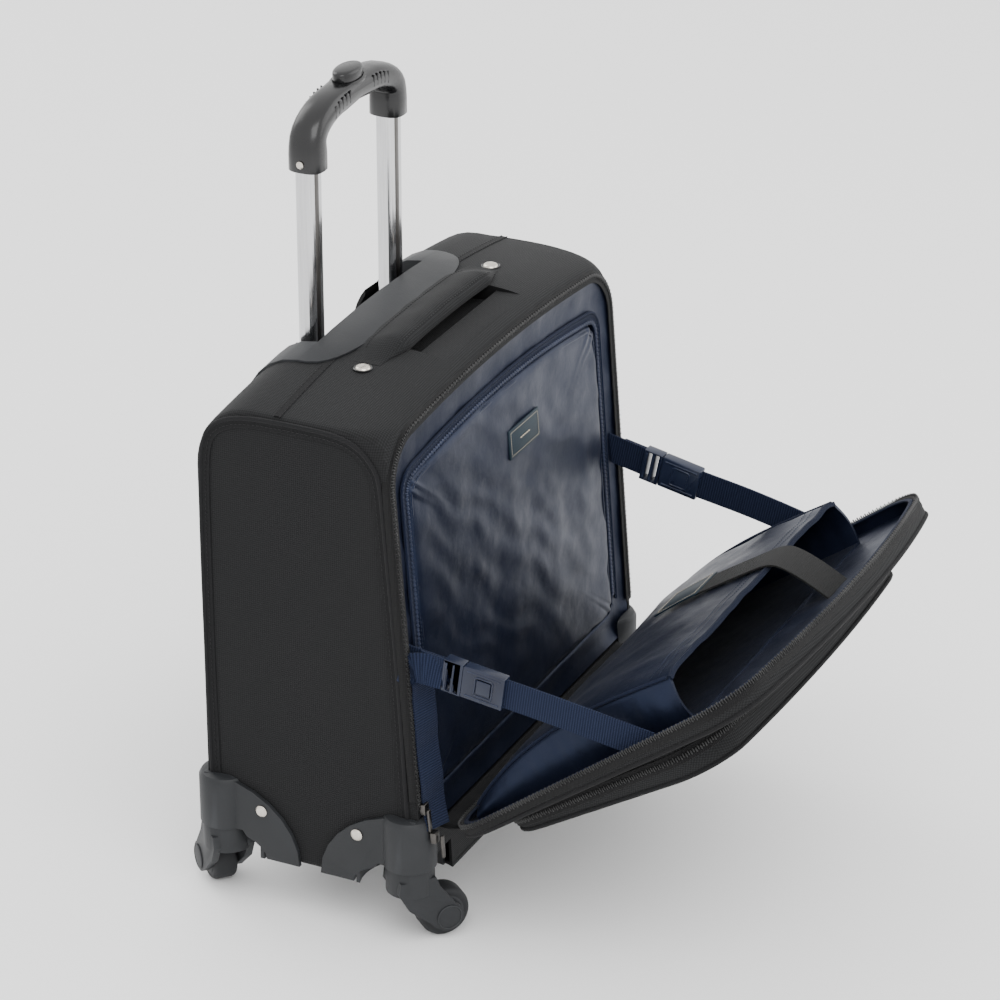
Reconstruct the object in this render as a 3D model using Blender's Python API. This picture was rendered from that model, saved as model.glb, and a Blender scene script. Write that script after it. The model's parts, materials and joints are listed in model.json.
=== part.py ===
"""A four-wheel rolling laptop case with its front cover let down on two buckled straps.

Metres, +Z up, front towards -Y.  The case is drawn about its own mid depth, and every pivot hangs
from one empty that moves it so that its box stands centred on the origin.
"""

import math

import bmesh
import bpy
from mathutils import Matrix, Vector

# Case body
HALF_WIDTH = 0.200
BASE = 0.047
TOP = 0.435
BACK = 0.092
WALL = 0.003
CROWN = 0.017
BACK_CROWN = 0.009  # the top bows less where it turns into the back
BACK_TOP_ROUND = 0.046
BACK_BASE_ROUND = 0.018
EDGE_ROUND = 0.006
ROUND_START = -0.017  # from here forward the top corners round off towards the rim
RIM_ROUND = 0.0385
RIM_DROP = 0.0076
RIM_CROWN_LOSS = 0.0044
RIM_LEAN = math.radians(4.3)
GAP = 0.0003
DEPTH_SHIFT = 0.13389

# Cover
HINGE = Vector((0, -0.0977, 0.0895))
COVER_TILT = math.radians(52.94)  # the open cover, measured from upright
COVER_START = 0.020
COVER_END = 0.3199
COVER_CROWN = 0.0293
COVER_DEEP_FOOT = 0.010  # gusset depth beside the hinge
COVER_DEEP_FREE = 0.026  # gusset depth at the free end
COVER_FLOOR = 0.0025
POCKET_START = 0.070
POCKET_END = 0.262
POCKET_DEEP_FOOT = 0.025
POCKET_DEEP_FREE = 0.046
SLEEVE_HALF = 0.166
SLEEVE_START = 0.040
SLEEVE_END = 0.262
SLEEVE_RISE = 0.024
TAB_X = 0.045
TAB_WIDTH = 0.038
TAB_FOOT = (0.300, -0.0200)

# Lining and compartment panel
LINING_SIDE = 0.018
PANEL_SIDE = 0.0305
LINING_DEEP = 0.037
LINING_TOP_DROP = 0.010

ZIP_START = 0.027

# Straps
STRAP_X = 0.1885
STRAP_SET_BACK = 0.016
STRAPS = {  # side, anchor height, fall below level in degrees, length: the right one is pulled higher
    "left": (-1, 0.2500, 7.5, 0.200),
    "right": (1, 0.2690, 11.7, 0.208),
}
STRAP_WIDE = 0.025
STRAP_THICK = 0.002
BUCKLE_START = 0.044
BUCKLE_SPLIT = 0.0605
BUCKLE_END = 0.096
BUCKLE_WIDE = 0.028
BUCKLE_THICK = 0.010

# Telescopic handle
POLE_X = 0.0674
POLE_Y = 0.0617
INNER_TUBE = (0.022, 0.014)
MIDDLE_TUBE = (0.025, 0.017)
OUTER_TUBE = (0.028, 0.020)
TUBE_WALL = 0.0012
GRIP_BOTTOM = 0.584
GRIP_STRAIGHT = 0.597  # up to here the sleeves keep one size
GRIP_BEND = 0.604
GRIP_TOP = 0.628
BUTTON_FOOT = 0.0065  # above the bar's centreline
GRIP_SLEEVE = (0.0125, 0.0145)
GRIP_BAR = (0.0105, 0.0130)
SCOOP_HALF = 0.0900  # the handle base's recess round the tubes
SCOOP_FRONT = 0.0445
SCOOP_BACK = 0.0785
SCOOP_FLOOR = 0.4015
SCOOP_WALL = 0.0015
SCOOP_MIDDLE = 0.0560  # half the width over which the recess runs out through the back
# The cut through the recess's rear wall beside the middle, as (distance from the middle, height)
SCOOP_REAR_RIM = [
    (0.0520, 0.4020), (0.0610, 0.4020), (0.0676, 0.4067), (0.0800, 0.4105),
    (0.0880, 0.4132), (0.0880, 0.4800), (0.0520, 0.4800),
]
# The hand recess in the top and the tub that walls it, as opposite corners
RECESS = (-0.070, -0.060, 0.4345), (0.070, -0.008, 0.4700)
RECESS_TUB = (-0.074, -0.064, 0.4310), (0.074, -0.004, 0.4475)
SILL_SIDE, SILL_RISE = 0.0015, 0.004
BASE_HALF = 0.122
BASE_FRONT = 0.003
BASE_PROUD = 0.0020

# Casters
SWIVEL_X = 0.190
SWIVEL_Y = 0.082
SWIVEL_Z = 0.068
WHEEL_RADIUS = 0.021
WHEEL_WIDE = 0.020
TRAIL = 0.026
NOTCH_RADIUS = 0.043
FRONT_TRAIL_TURN = math.radians(50)
REAR_TRAIL_TURN = math.radians(43)

FINISHES = {
    "black_polyester": ((0.018, 0.018, 0.020), 0.80, 0.0),
    "navy_lining": ((0.016, 0.022, 0.045), 0.45, 0.0),
    "navy_webbing": ((0.022, 0.035, 0.085), 0.75, 0.0),
    "navy_plastic": ((0.025, 0.040, 0.090), 0.35, 0.0),
    "black_elastic": ((0.012, 0.012, 0.012), 0.85, 0.0),
    "zip_black": ((0.020, 0.020, 0.022), 0.50, 0.0),
    "gray_plastic": ((0.060, 0.062, 0.066), 0.60, 0.0),
    "black_plastic": ((0.016, 0.016, 0.017), 0.32, 0.0),
    "tread": ((0.030, 0.031, 0.033), 0.65, 0.0),
    "tube_metal": ((0.62, 0.62, 0.63), 0.18, 1.0),
    "nickel": ((0.55, 0.52, 0.47), 0.25, 1.0),
    "gunmetal": ((0.10, 0.10, 0.10), 0.35, 1.0),
}

worlds = {}
empties = {}


def clear_scene():
    for old in list(bpy.data.objects):
        bpy.data.objects.remove(old, do_unlink=True)


def finish(name):
    if name in bpy.data.materials:
        return bpy.data.materials[name]
    colour, roughness, metallic = FINISHES[name]
    material = bpy.data.materials.new(name)
    material.use_nodes = True
    shader = material.node_tree.nodes["Principled BSDF"]
    shader.inputs["Base Color"].default_value = (*colour, 1)
    shader.inputs["Roughness"].default_value = roughness
    shader.inputs["Metallic"].default_value = metallic
    return material


def pivot(name, parent, at, tilt=0.0, turn=0.0):
    """An empty at a point of the case's own frame, tilted about X or turned about Z."""
    empty = bpy.data.objects.new(name, None)
    empty.empty_display_size = 0.02
    bpy.context.scene.collection.objects.link(empty)
    place = Matrix.Translation(Vector(at) + Vector((0, DEPTH_SHIFT, 0)))
    worlds[name] = place @ Matrix.Rotation(turn, 4, "Z") @ Matrix.Rotation(tilt, 4, "X")
    empties[name] = empty
    if parent:
        empty.parent = empties[parent]
        empty.matrix_local = worlds[parent].inverted() @ worlds[name]
    else:
        empty.matrix_local = worlds[name]
    return name


# ---------------------------------------------------------------- outlines


def arc(cx, cy, radius, start, stop, steps):
    """Points round a circle, angles in degrees."""
    turns = [math.radians(start + (stop - start) * i / steps) for i in range(steps + 1)]
    return [(cx + radius * math.cos(t), cy + radius * math.sin(t)) for t in turns]


def arch(half, low, high, crown, low_round, high_round, steps=5, top_points=7):
    """A rounded rectangle, from low right round to low left. Its upper edge bows up by crown."""
    low_x, high_x = half - low_round, half - high_round
    points = arc(low_x, low + low_round, low_round, -90, 0, steps)
    points += arc(high_x, high - high_round, high_round, 0, 90, steps)
    points += [(high_x * (1 - 2 * i / (top_points + 1)), high) for i in range(1, top_points + 1)]
    points += arc(-high_x, high - high_round, high_round, 90, 180, steps)
    points += arc(-low_x, low + low_round, low_round, 180, 270, steps)
    middle = (low + high) / 2
    return [
        (x, z + crown * (1 - (x / half) ** 2) * max(0.0, (z - middle) / (high - middle)))
        for x, z in points
    ]


def oval(half_x, half_y, power=2.0, count=24):
    """A rounded outline: power 2 is an ellipse, and more is squarer."""
    points = []
    for i in range(count):
        c, s = math.cos(math.tau * i / count), math.sin(math.tau * i / count)
        x = half_x * math.copysign(abs(c) ** (2 / power), c)
        y = half_y * math.copysign(abs(s) ** (2 / power), s)
        points.append((x, y))
    return points


def rectangle(x0, x1, y0, y1):
    return [(x0, y0), (x1, y0), (x1, y1), (x0, y1)]


# ---------------------------------------------------------------- solids


def solid(name, body, colour, rings, frame=None, hoop=False, smooth=35):
    """A closed body through rings of points in a frame's axes, capped at its ends or joined as a hoop."""
    mesh = bpy.data.meshes.new(name)
    shape = bmesh.new()
    loops = [[shape.verts.new(point) for point in ring] for ring in rings]
    pairs = list(zip(loops, loops[1:] + loops[:1]))
    for near, far in pairs if hoop else pairs[:-1]:
        for i in range(len(near)):
            j = (i + 1) % len(near)
            shape.faces.new((near[i], near[j], far[j], far[i]))
    if not hoop:
        shape.faces.new(loops[0])
        shape.faces.new(loops[-1])
    bmesh.ops.remove_doubles(shape, verts=shape.verts, dist=1e-6)
    bmesh.ops.recalc_face_normals(shape, faces=shape.faces)
    to_body = worlds[body].inverted() @ worlds[frame or body]
    bmesh.ops.transform(shape, matrix=to_body, verts=shape.verts)
    shape.to_mesh(mesh)
    shape.free()
    mesh.shade_smooth()
    mesh.set_sharp_from_angle(angle=math.radians(smooth))
    mesh.materials.append(finish(colour))
    piece = bpy.data.objects.new(name, mesh)
    bpy.context.scene.collection.objects.link(piece)
    piece.parent = empties[body]
    return piece


def slab(name, body, colour, outline, low, high, along="z", frame=None):
    """An outline pushed from low to high along one axis of its frame."""
    spread = {
        "x": lambda p, t: (t, p[0], p[1]),
        "y": lambda p, t: (p[0], t, p[1]),
        "z": lambda p, t: (p[0], p[1], t),
    }[along]
    rings = [[spread(point, level) for point in outline] for level in (low, high)]
    return solid(name, body, colour, rings, frame)


def block(name, body, colour, low, high, frame=None):
    return slab(name, body, colour, rectangle(low[0], high[0], low[1], high[1]), low[2], high[2], "z", frame)


def turned(name, body, colour, profile, frame=None, axis="z", centre=(0, 0), hoop=False, count=24):
    """A round body from (radius, height) steps along an axis of its frame."""
    rings = []
    for radius, level in profile:
        circle = [(x + centre[0], y + centre[1]) for x, y in oval(radius, radius, 2, count)]
        if axis == "z":
            rings.append([(x, y, level) for x, y in circle])
        else:
            rings.append([(level, x, y) for x, y in circle])
    return solid(name, body, colour, rings, frame, hoop)


def combine(piece, steps):
    """Carries out (operation, cutter) Booleans on a piece and leaves one plain mesh."""
    for operation, cutter in steps:
        change = piece.modifiers.new(operation.lower(), "BOOLEAN")
        change.operation = operation
        change.solver = "EXACT"
        change.object = cutter
        cutter.hide_render = True
        cutter.display_type = "WIRE"
    bpy.context.view_layer.update()
    graph = bpy.context.evaluated_depsgraph_get()
    mesh = bpy.data.meshes.new_from_object(piece.evaluated_get(graph))
    piece.modifiers.clear()
    piece.data = mesh
    mesh.set_sharp_from_angle(angle=math.radians(35))
    for _, cutter in steps:
        if cutter.name in bpy.data.objects:
            bpy.data.objects.remove(cutter, do_unlink=True)
    return piece


# ---------------------------------------------------------------- case


def rim_y(z, behind=0.0):
    """Depth of the leaning rim plane at a height, or of a plane a little behind it."""
    return HINGE.y + (z - HINGE.z) * math.tan(RIM_LEAN) + behind / math.cos(RIM_LEAN)


def ease(s):
    return 1 - math.sqrt(max(0.0, 1 - s * s))


def case_top(x, y=0.0):
    """Height of the crowned top over a point of the floor."""
    s = min(1.0, max(0.0, (ROUND_START - y) / (ROUND_START - rim_y(TOP))))
    crown = CROWN - RIM_CROWN_LOSS * ease(s)
    return TOP - RIM_DROP * ease(s) + crown * (1 - (x / HALF_WIDTH) ** 2)


def back_crown(sine):
    """The crown of the outline at an angle round the top back corner."""
    return BACK_CROWN + (CROWN - BACK_CROWN) * sine**2


def case_rings(inset, rim_behind):
    """Outlines of the case from its back to its rim, a distance inside its outer face."""
    rings = []
    for degrees in (0, 22.5, 45, 67.5, 90):
        c, s = math.cos(math.radians(degrees)), math.sin(math.radians(degrees))
        low = BASE + BACK_BASE_ROUND * (1 - s) + inset * s
        high = TOP - BACK_TOP_ROUND * (1 - s) - inset * s
        edge = max(EDGE_ROUND - inset, 0.002)
        outline = arch(HALF_WIDTH - inset, low, high, back_crown(s), edge, edge)
        ring = []
        for x, z in outline:
            share = min(1.0, max(0.0, (z - BASE) / (TOP - BASE)))
            bend = BACK_BASE_ROUND + (BACK_TOP_ROUND - BACK_BASE_ROUND) * share
            ring.append((x, BACK - bend * (1 - c) - inset * c, z))
        rings.append(ring)
    for s in (0.0, 0.35, 0.6, 0.8, 0.92, 1.0):
        f = ease(s)
        corner = max(EDGE_ROUND + (RIM_ROUND - EDGE_ROUND) * f - inset, 0.002)
        outline = arch(
            HALF_WIDTH - inset,
            BASE + inset,
            TOP - RIM_DROP * f - inset,
            CROWN - RIM_CROWN_LOSS * f,
            max(EDGE_ROUND - inset, 0.002),
            corner,
        )
        rings.append([(x, ROUND_START + (rim_y(z, rim_behind) - ROUND_START) * s, z) for x, z in outline])
    return rings


def case_volume(name, gap=GAP):
    """The case's outside, a gap larger: it cuts what wraps round the case."""
    return solid(name, "case", "black_polyester", case_rings(-gap, 0.0012))


def corners():
    for side, x in (("left", -1), ("right", 1)):
        for end, y in (("front", -1), ("rear", 1)):
            yield f"{end}_{side}", x, y


def case_shell():
    rings = case_rings(WALL, 0.0012) + case_rings(0.0, 0.0012)[::-1]
    shell = solid("case_shell", "case", "black_polyester", rings)
    steps = []
    edge, foot, brow = HALF_WIDTH - SILL_SIDE, BASE + SILL_SIDE, HINGE.z + SILL_RISE
    lip = rectangle(-edge, edge, foot, brow)
    sill = [[(x, rim_y(z, behind), z) for x, z in lip] for behind in (0.0015, 0.0045)]
    steps.append(("UNION", solid("sill", "case", "black_polyester", sill)))
    tub = block("recess_tub", "case", "black_polyester", *RECESS_TUB)
    steps.append(("UNION", tub))
    steps.append(("DIFFERENCE", block("recess", "case", "black_polyester", *RECESS)))
    steps.append(("DIFFERENCE", scoop("scoop_hole", SCOOP_WALL + GAP, "black_polyester")))
    for name, x, y in corners():
        notch = [(NOTCH_RADIUS + GAP, 0.03), (NOTCH_RADIUS + GAP, SWIVEL_Z + 0.0041)]
        centre = (x * SWIVEL_X, y * SWIVEL_Y)
        cutter = turned(f"notch_{name}", "case", "black_polyester", notch, centre=centre, count=40)
        steps.append(("DIFFERENCE", cutter))
    combine(shell, steps)


def lining_outline(side):
    """The front lining's outline, a distance in from the case's side."""
    top = (TOP - RIM_DROP - HINGE.z) / math.cos(RIM_LEAN) - LINING_TOP_DROP
    round_top = max(RIM_ROUND - side, 0.012)
    return arch(HALF_WIDTH - side, 0.004 + side, top - side, CROWN - RIM_CROWN_LOSS, 0.008, round_top)


def lining():
    profile = [
        (LINING_SIDE, 0.004), (0.029, 0.004), (0.029, 0.007), (LINING_SIDE + 0.003, 0.007),
        (LINING_SIDE + 0.003, LINING_DEEP), (WALL + 0.0005, LINING_DEEP),
        (WALL + 0.0005, LINING_DEEP - 0.003), (LINING_SIDE, LINING_DEEP - 0.003),
    ]
    rings = [[(x, depth, u) for x, u in lining_outline(side)] for side, depth in profile]
    solid("front_lining", "case", "navy_lining", rings, "rim", hoop=True)
    block("back_lining", "case", "navy_lining", (-0.190, 0.0395, 0.0745), (0.190, 0.0425, 0.428))


def strip_along(path, profile):
    """Rings of a narrow profile of (inward, depth) points carried along a path of (x, u) points."""
    rings = []
    for i, (x, u) in enumerate(path):
        before, after = path[max(i - 1, 0)], path[min(i + 1, len(path) - 1)]
        along = Vector((after[0] - before[0], after[1] - before[1])).normalized()
        inward = Vector((-along.y, along.x))
        rings.append([(x + inward.x * a, depth, u + inward.y * a) for a, depth in profile])
    return rings


def case_zipper():
    top = (TOP - RIM_DROP - HINGE.z) / math.cos(RIM_LEAN)
    path = arch(HALF_WIDTH, ZIP_START, top, CROWN - RIM_CROWN_LOSS, 0.002, RIM_ROUND)[5:-5]
    band = rectangle(0.0002, 0.0032, 0.0002, 0.0009)
    solid("case_zipper", "case", "zip_black", strip_along(path, band), "rim")


def zip_sliders():
    """Two sliders parked at the foot of the left side, each with a pull hanging from it."""
    for name, height, pull_x, out in (("upper", 0.034, -0.1975, 0.0), ("lower", 0.010, -0.1925, 0.0072)):
        body = pivot(f"slider_{name}", "case", (-0.195, HINGE.y, HINGE.z), -RIM_LEAN)
        low, high = (-0.0040, -0.0050 - out, height - 0.0045), (0.0035, -0.0001 - out, height + 0.0045)
        block(f"zip_slider_{name}", body, "gunmetal", low, high)
        tip = HINGE + Matrix.Rotation(-RIM_LEAN, 3, "X") @ Vector((pull_x, -0.0075 - out, height))
        swing = pivot(f"pull_{name}", body, tip, -RIM_LEAN)
        outline = arch(0.002, -0.019, 0.0005, 0, 0.0015, 0.001, 2, 1)
        slab(f"zip_pull_{name}", swing, "gunmetal", outline, -0.0010, 0.0010, "y")


def carry_handle():
    section = [
        (-0.0170, 0.0040), (-0.0160, 0.0090), (-0.0125, 0.0115), (-0.0080, 0.0105), (0.0, 0.0085),
        (0.0100, 0.0070), (0.0165, 0.0045), (0.0170, 0.0), (-0.0100, 0.0), (-0.0155, 0.0008),
    ]
    rings = []
    for i in range(25):
        x = 0.126 * (i / 12 - 1)
        raised = min(1.0, max(0.0, (0.104 - abs(x)) / 0.035))
        raised = raised * raised * (3 - 2 * raised)
        narrow, thin = 0.62 + 0.38 * raised, 0.35 + 0.65 * raised
        ring = []
        for dy, dz in section:
            y = -0.0125 + 0.006 * (1 - raised) + dy * narrow
            floor = max(case_top(x, y), case_top(x, 0.0)) + 0.0008
            ring.append((x, y, floor + 0.0035 * raised + dz * thin))
        rings.append(ring)
    solid("carry_handle", "case", "black_polyester", rings)
    for side, x in (("left", -0.108), ("right", 0.108)):
        foot = case_top(x) + 0.0008 + 0.0115 * 0.35 + 0.0005
        dome = [(0.0060, foot), (0.0060, foot + 0.0008), (0.0048, foot + 0.0020), (0.0022, foot + 0.0027)]
        turned(f"carry_rivet_{side}", "case", "nickel", dome, centre=(x, -0.0065))


# ---------------------------------------------------------------- cover


def cover_outline(inset):
    low_round, high_round = max(0.048 - inset, 0.003), max(0.036 - inset, 0.003)
    half, low, high = HALF_WIDTH - inset, COVER_START + inset, COVER_END - inset
    return arch(half, low, high, COVER_CROWN, low_round, high_round)


def cover_ring(outline, level):
    """Outline points (x, distance from the hinge) at a level of the cover's frame."""
    return [(x, -v, level) for x, v in outline]


def tilted_ring(outline, level, rise=0.0):
    """Outline points lifted by rise above a level that depends on the distance from the hinge."""
    return [(x, -v, level(v) + rise) for x, v in outline]


def cover_back(v):
    """Level of the cover's outer face: the cover is a wedge, thin beside its hinge."""
    share = (v - COVER_START) / (COVER_END + COVER_CROWN - COVER_START)
    return -COVER_DEEP_FOOT - (COVER_DEEP_FREE - COVER_DEEP_FOOT) * share


def pocket_face(v):
    share = (v - POCKET_START) / (POCKET_END - POCKET_START)
    return -POCKET_DEEP_FOOT - (POCKET_DEEP_FREE - POCKET_DEEP_FOOT) * share


def cover_tray():
    rim = -0.0012
    rings = [
        tilted_ring(cover_outline(0.003), cover_back, COVER_FLOOR),
        cover_ring(cover_outline(0.003), rim),
        cover_ring(cover_outline(0.0), rim),
        tilted_ring(cover_outline(0.0), cover_back, 0.004),
        tilted_ring(cover_outline(0.004), cover_back),
    ]
    solid("cover_tray", "cover", "black_polyester", rings)


def front_pocket():
    def outline(inset):
        return arch(0.188 - inset, POCKET_START + inset, POCKET_END - inset, 0.014, 0.030, 0.045)

    rings = [
        tilted_ring(outline(0.0025), pocket_face, 0.0025),
        tilted_ring(outline(0.0025), cover_back, -GAP),
        tilted_ring(outline(0.0), cover_back, -GAP),
        tilted_ring(outline(0.0), pocket_face, 0.006),
        tilted_ring(outline(0.006), pocket_face),
    ]
    solid("front_pocket", "cover", "black_polyester", rings)


def cover_zipper():
    path = cover_outline(0.0)
    strip = strip_along(path, rectangle(0.0, 0.003, -0.0009, -0.0001))
    rings = [[(x, -v, w) for x, w, v in ring] for ring in strip]
    solid("cover_zipper", "cover", "zip_black", rings)


def laptop_sleeve():
    """A wedge-shaped pocket on the cover's floor, open towards the cover's free end."""
    wall = 0.0025

    def ring(v, inset):
        share = (v - SLEEVE_START) / (SLEEVE_END - SLEEVE_START)
        top = 0.003 + (SLEEVE_RISE - 0.003) * share
        bottom = cover_back(v) + COVER_FLOOR + GAP
        outline = rectangle(inset - SLEEVE_HALF, SLEEVE_HALF - inset, bottom + inset, top - inset)
        return [(x, -v, w) for x, w in outline]

    places = ((SLEEVE_START + wall, wall), (SLEEVE_END, wall), (SLEEVE_END, 0), (SLEEVE_START, 0))
    rings = [ring(v, inset) for v, inset in places]
    solid("laptop_sleeve", "cover", "navy_lining", rings)


def sleeve_tab():
    """An elastic strip rooted on the cover's lining, bent over the sleeve's mouth."""
    foot_v, foot_w = TAB_FOOT
    at = HINGE + Matrix.Rotation(COVER_TILT - math.pi / 2, 3, "X") @ Vector((TAB_X, -foot_v, foot_w))
    body = pivot("tab", "cover", at, COVER_TILT - math.pi / 2)
    line = [(0.0, 0.0), (0.026, 0.0440), (0.036, 0.0446), (0.110, 0.0385)]
    thick = 0.0015
    under = [(a, b) for a, b in line]
    over = [(a - 0.001 if i < 2 else a, b + thick) for i, (a, b) in enumerate(line)]
    outline = under + over[::-1]
    slab("sleeve_tab", body, "black_elastic", outline, -TAB_WIDTH / 2, TAB_WIDTH / 2, "x")


# ---------------------------------------------------------------- compartment panel


def compartment_panel():
    """The zipped panel of the front lining, backed by a board and padded in front."""
    def ring(inset, depth):
        return [(x, depth, u) for x, u in lining_outline(inset)]

    back = [ring(PANEL_SIDE, LINING_DEEP), ring(PANEL_SIDE, LINING_DEEP - 0.003)]
    solid("compartment_panel", "panel", "navy_lining", back, "rim")
    pad = ((PANEL_SIDE, LINING_DEEP - 0.0033), (PANEL_SIDE, 0.006), (0.040, 0.0022), (0.060, 0.001))
    front = [ring(inset, depth) for inset, depth in pad]
    solid("panel_pad", "panel", "navy_lining", front, "rim")


# ---------------------------------------------------------------- straps


def strap(name, side, height, drop, length):
    """Webbing and a side-release buckle in two parts, in a frame whose -Y runs down the strap."""
    anchor = Vector((side * STRAP_X, rim_y(height) + STRAP_SET_BACK, height))
    body = pivot(f"buckle_{name}", "case", anchor, math.radians(drop))
    half, thin = STRAP_WIDE / 2, STRAP_THICK / 2
    block(f"case_strap_{name}", body, "navy_webbing", (-thin, -BUCKLE_START + GAP, -half), (thin, 0, half))
    block(f"cover_strap_{name}", "cover", "navy_webbing",
          (-thin, -length, -half), (thin, -BUCKLE_END - GAP, half), body)

    wide, thick = BUCKLE_WIDE / 2, BUCKLE_THICK / 2
    tongue = block(f"buckle_tongue_{name}", body, "navy_plastic",
                   (-thick, -BUCKLE_SPLIT, -wide), (thick, -BUCKLE_START, wide))
    prong = block("prong", body, "navy_plastic", (-0.0015, -0.0780, -0.008), (0.0015, -0.0590, 0.008))
    bars = []
    for y in (-0.0495, -0.0560):
        low, high = (-0.01, y - 0.0016, -0.0128), (0.01, y + 0.0016, 0.0128)
        slot = block(f"slot{y}", body, "navy_plastic", low, high)
        bars.append(("DIFFERENCE", slot))
    combine(tongue, [("UNION", prong)] + bars)

    shell = block(f"buckle_body_{name}", body, "navy_plastic",
                  (-thick, -BUCKLE_END, -wide), (thick, -BUCKLE_SPLIT - GAP, wide))
    cavity = block("cavity", body, "navy_plastic", (-0.0018, -0.0790, -0.0085), (0.0018, -0.0500, 0.0085))
    x0, x1 = sorted((side * 0.0024, side * 0.0100))
    pocket = block("pocket", body, "navy_plastic", (x0, -0.0853, -0.0063), (x1, -0.0727, 0.0063))
    combine(shell, [("DIFFERENCE", cavity), ("DIFFERENCE", pocket)])

    press = pivot(f"button_{name}", body, anchor, math.radians(drop))
    x0, x1 = sorted((side * 0.0041, side * 0.0056))
    block(f"buckle_button_{name}", press, "navy_plastic", (x0, -0.0850, -0.0060), (x1, -0.0730, 0.0060))


# ---------------------------------------------------------------- telescopic handle


def tube(name, body, size, low, high, side):
    half_x, half_y = size[0] / 2, size[1] / 2
    centre = side * POLE_X

    def ring(inset, z):
        outline = oval(half_x - inset, half_y - inset, 5, 24)
        return [(x + centre, y + POLE_Y, z) for x, y in outline]

    rings = [ring(0, low), ring(0, high), ring(TUBE_WALL, high), ring(TUBE_WALL, low)]
    solid(name, body, "tube_metal", rings, "case", hoop=True)


def scoop(name, wall, material="gray_plastic"):
    """The recess round the tubes, grown by a wall: level floor, falling away to the back in the middle."""
    half, front, floor = SCOOP_HALF + wall, SCOOP_FRONT - wall, SCOOP_FLOOR - 2 * wall
    body = block(name, "case", material, (-half, front, floor), (half, SCOOP_BACK + wall, 0.480))
    out = [(SCOOP_FRONT, floor), (0.0745, floor), (0.1120, floor - (0.1120 - 0.0745) * 1.1),
           (0.1120, 0.480), (SCOOP_FRONT, 0.480)]
    middle = SCOOP_MIDDLE + wall
    combine(body, [("UNION", slab(f"{name}_out", "case", material, out, -middle, middle, "x"))])
    return body


def proud_volume(name, proud):
    """The case's back and top, standing out by a distance: it bounds the handle base."""
    rings = []
    for i in range(17):
        x = 0.130 * (i / 8 - 1)
        bow = 1 - (x / HALF_WIDTH) ** 2
        ring = [(-0.010, 0.360), (BACK + proud, 0.360)]
        for turn in (0, 15, 30, 45, 60, 75, 90):
            c, s = math.cos(math.radians(turn)), math.sin(math.radians(turn))
            height = TOP - BACK_TOP_ROUND * (1 - s) + back_crown(s) * bow
            ring.append((BACK - BACK_TOP_ROUND * (1 - c) + proud * c, height + proud * s))
        ring.append((-0.010, TOP + CROWN * bow + proud))
        rings.append([(x, y, z) for y, z in ring])
    return solid(name, "case", "gray_plastic", rings)


def handle_base():
    """The plate along the top's back edge, with a recess round the tubes that opens to the back."""
    outline = []
    for i in range(25):
        turn = math.pi * i / 24
        x = -BASE_HALF * math.cos(turn)
        depth = math.sin(turn) ** 0.45
        outline.append((x, 0.062 - (0.062 - BASE_FRONT) * depth))
    outline += [(BASE_HALF, 0.110), (-BASE_HALF, 0.110)]
    base = slab("handle_base", "case", "gray_plastic", outline, 0.372, 0.480)
    tub = scoop("tub", SCOOP_WALL)
    combine(tub, [("INTERSECT", proud_volume("proud_tub", BASE_PROUD - 0.0005))])
    steps = [("INTERSECT", proud_volume("proud_plate", BASE_PROUD))]
    steps.append(("DIFFERENCE", case_volume("case_volume_base", 2 * GAP)))
    steps += [("UNION", tub), ("DIFFERENCE", scoop("hollow", 0.0))]
    for side in (-1, 1):
        outline = [(side * x, z) for x, z in SCOOP_REAR_RIM]
        steps.append(("DIFFERENCE", slab(f"rim_{side}", "case", "gray_plastic", outline, 0.0685, 0.120, "y")))
    for side in (-1, 1):
        x = side * POLE_X
        hole = oval(OUTER_TUBE[0] / 2 + GAP, OUTER_TUBE[1] / 2 + GAP, 5)
        outline = [(px + x, py + POLE_Y) for px, py in hole]
        steps.append(("DIFFERENCE", slab(f"tube_hole_{side}", "case", "gray_plastic", outline, 0.39, 0.41)))
    combine(base, steps)


def grip():
    """An arched grip: a sleeve over each tube, bent into one bar."""
    half_path = [(-POLE_X, GRIP_BOTTOM, 90), (-POLE_X, GRIP_STRAIGHT, 90)]
    bend_x, bend_z = 0.045, GRIP_TOP - 0.002 - GRIP_BEND
    for i in range(9):
        t = math.radians(90 * i / 8)
        x, z = -POLE_X + bend_x * (1 - math.cos(t)), GRIP_BEND + bend_z * math.sin(t)
        half_path.append((x, z, math.degrees(math.atan2(bend_z * math.cos(t), bend_x * math.sin(t)))))
    path = half_path + [(0.0, GRIP_TOP, 0)] + [(-x, z, -turn) for x, z, turn in half_path[::-1]]
    rings = []
    for x, z, turn in path:
        share = min(1.0, max(0.0, (z - GRIP_STRAIGHT) / (GRIP_TOP - GRIP_STRAIGHT)))
        thick = GRIP_SLEEVE[0] + (GRIP_BAR[0] - GRIP_SLEEVE[0]) * share
        wide = GRIP_SLEEVE[1] + (GRIP_BAR[1] - GRIP_SLEEVE[1]) * share
        across = Vector((-math.sin(math.radians(turn)), math.cos(math.radians(turn))))
        section = oval(thick, wide, 2.8, 20)
        rings.append([(x + across.x * a, POLE_Y + b, z + across.y * a) for a, b in section])
    bar = solid("grip", "upper", "black_plastic", rings, "case")
    steps = []
    for side in (-1, 1):
        size = oval(INNER_TUBE[0] / 2 + GAP, INNER_TUBE[1] / 2 + GAP, 5)
        outline = [(x + side * POLE_X, y + POLE_Y) for x, y in size]
        socket = slab(f"socket_{side}", "upper", "black_plastic", outline, 0.56, 0.6003, frame="case")
        steps.append(("DIFFERENCE", socket))
    well = [(x, y + POLE_Y) for x, y in oval(0.0185, 0.0102)]
    floor = GRIP_TOP + BUTTON_FOOT - 0.004
    cutter = slab("button_well", "upper", "black_plastic", well, floor, 0.66, frame="case")
    steps.append(("DIFFERENCE", cutter))
    combine(bar, steps)


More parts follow.
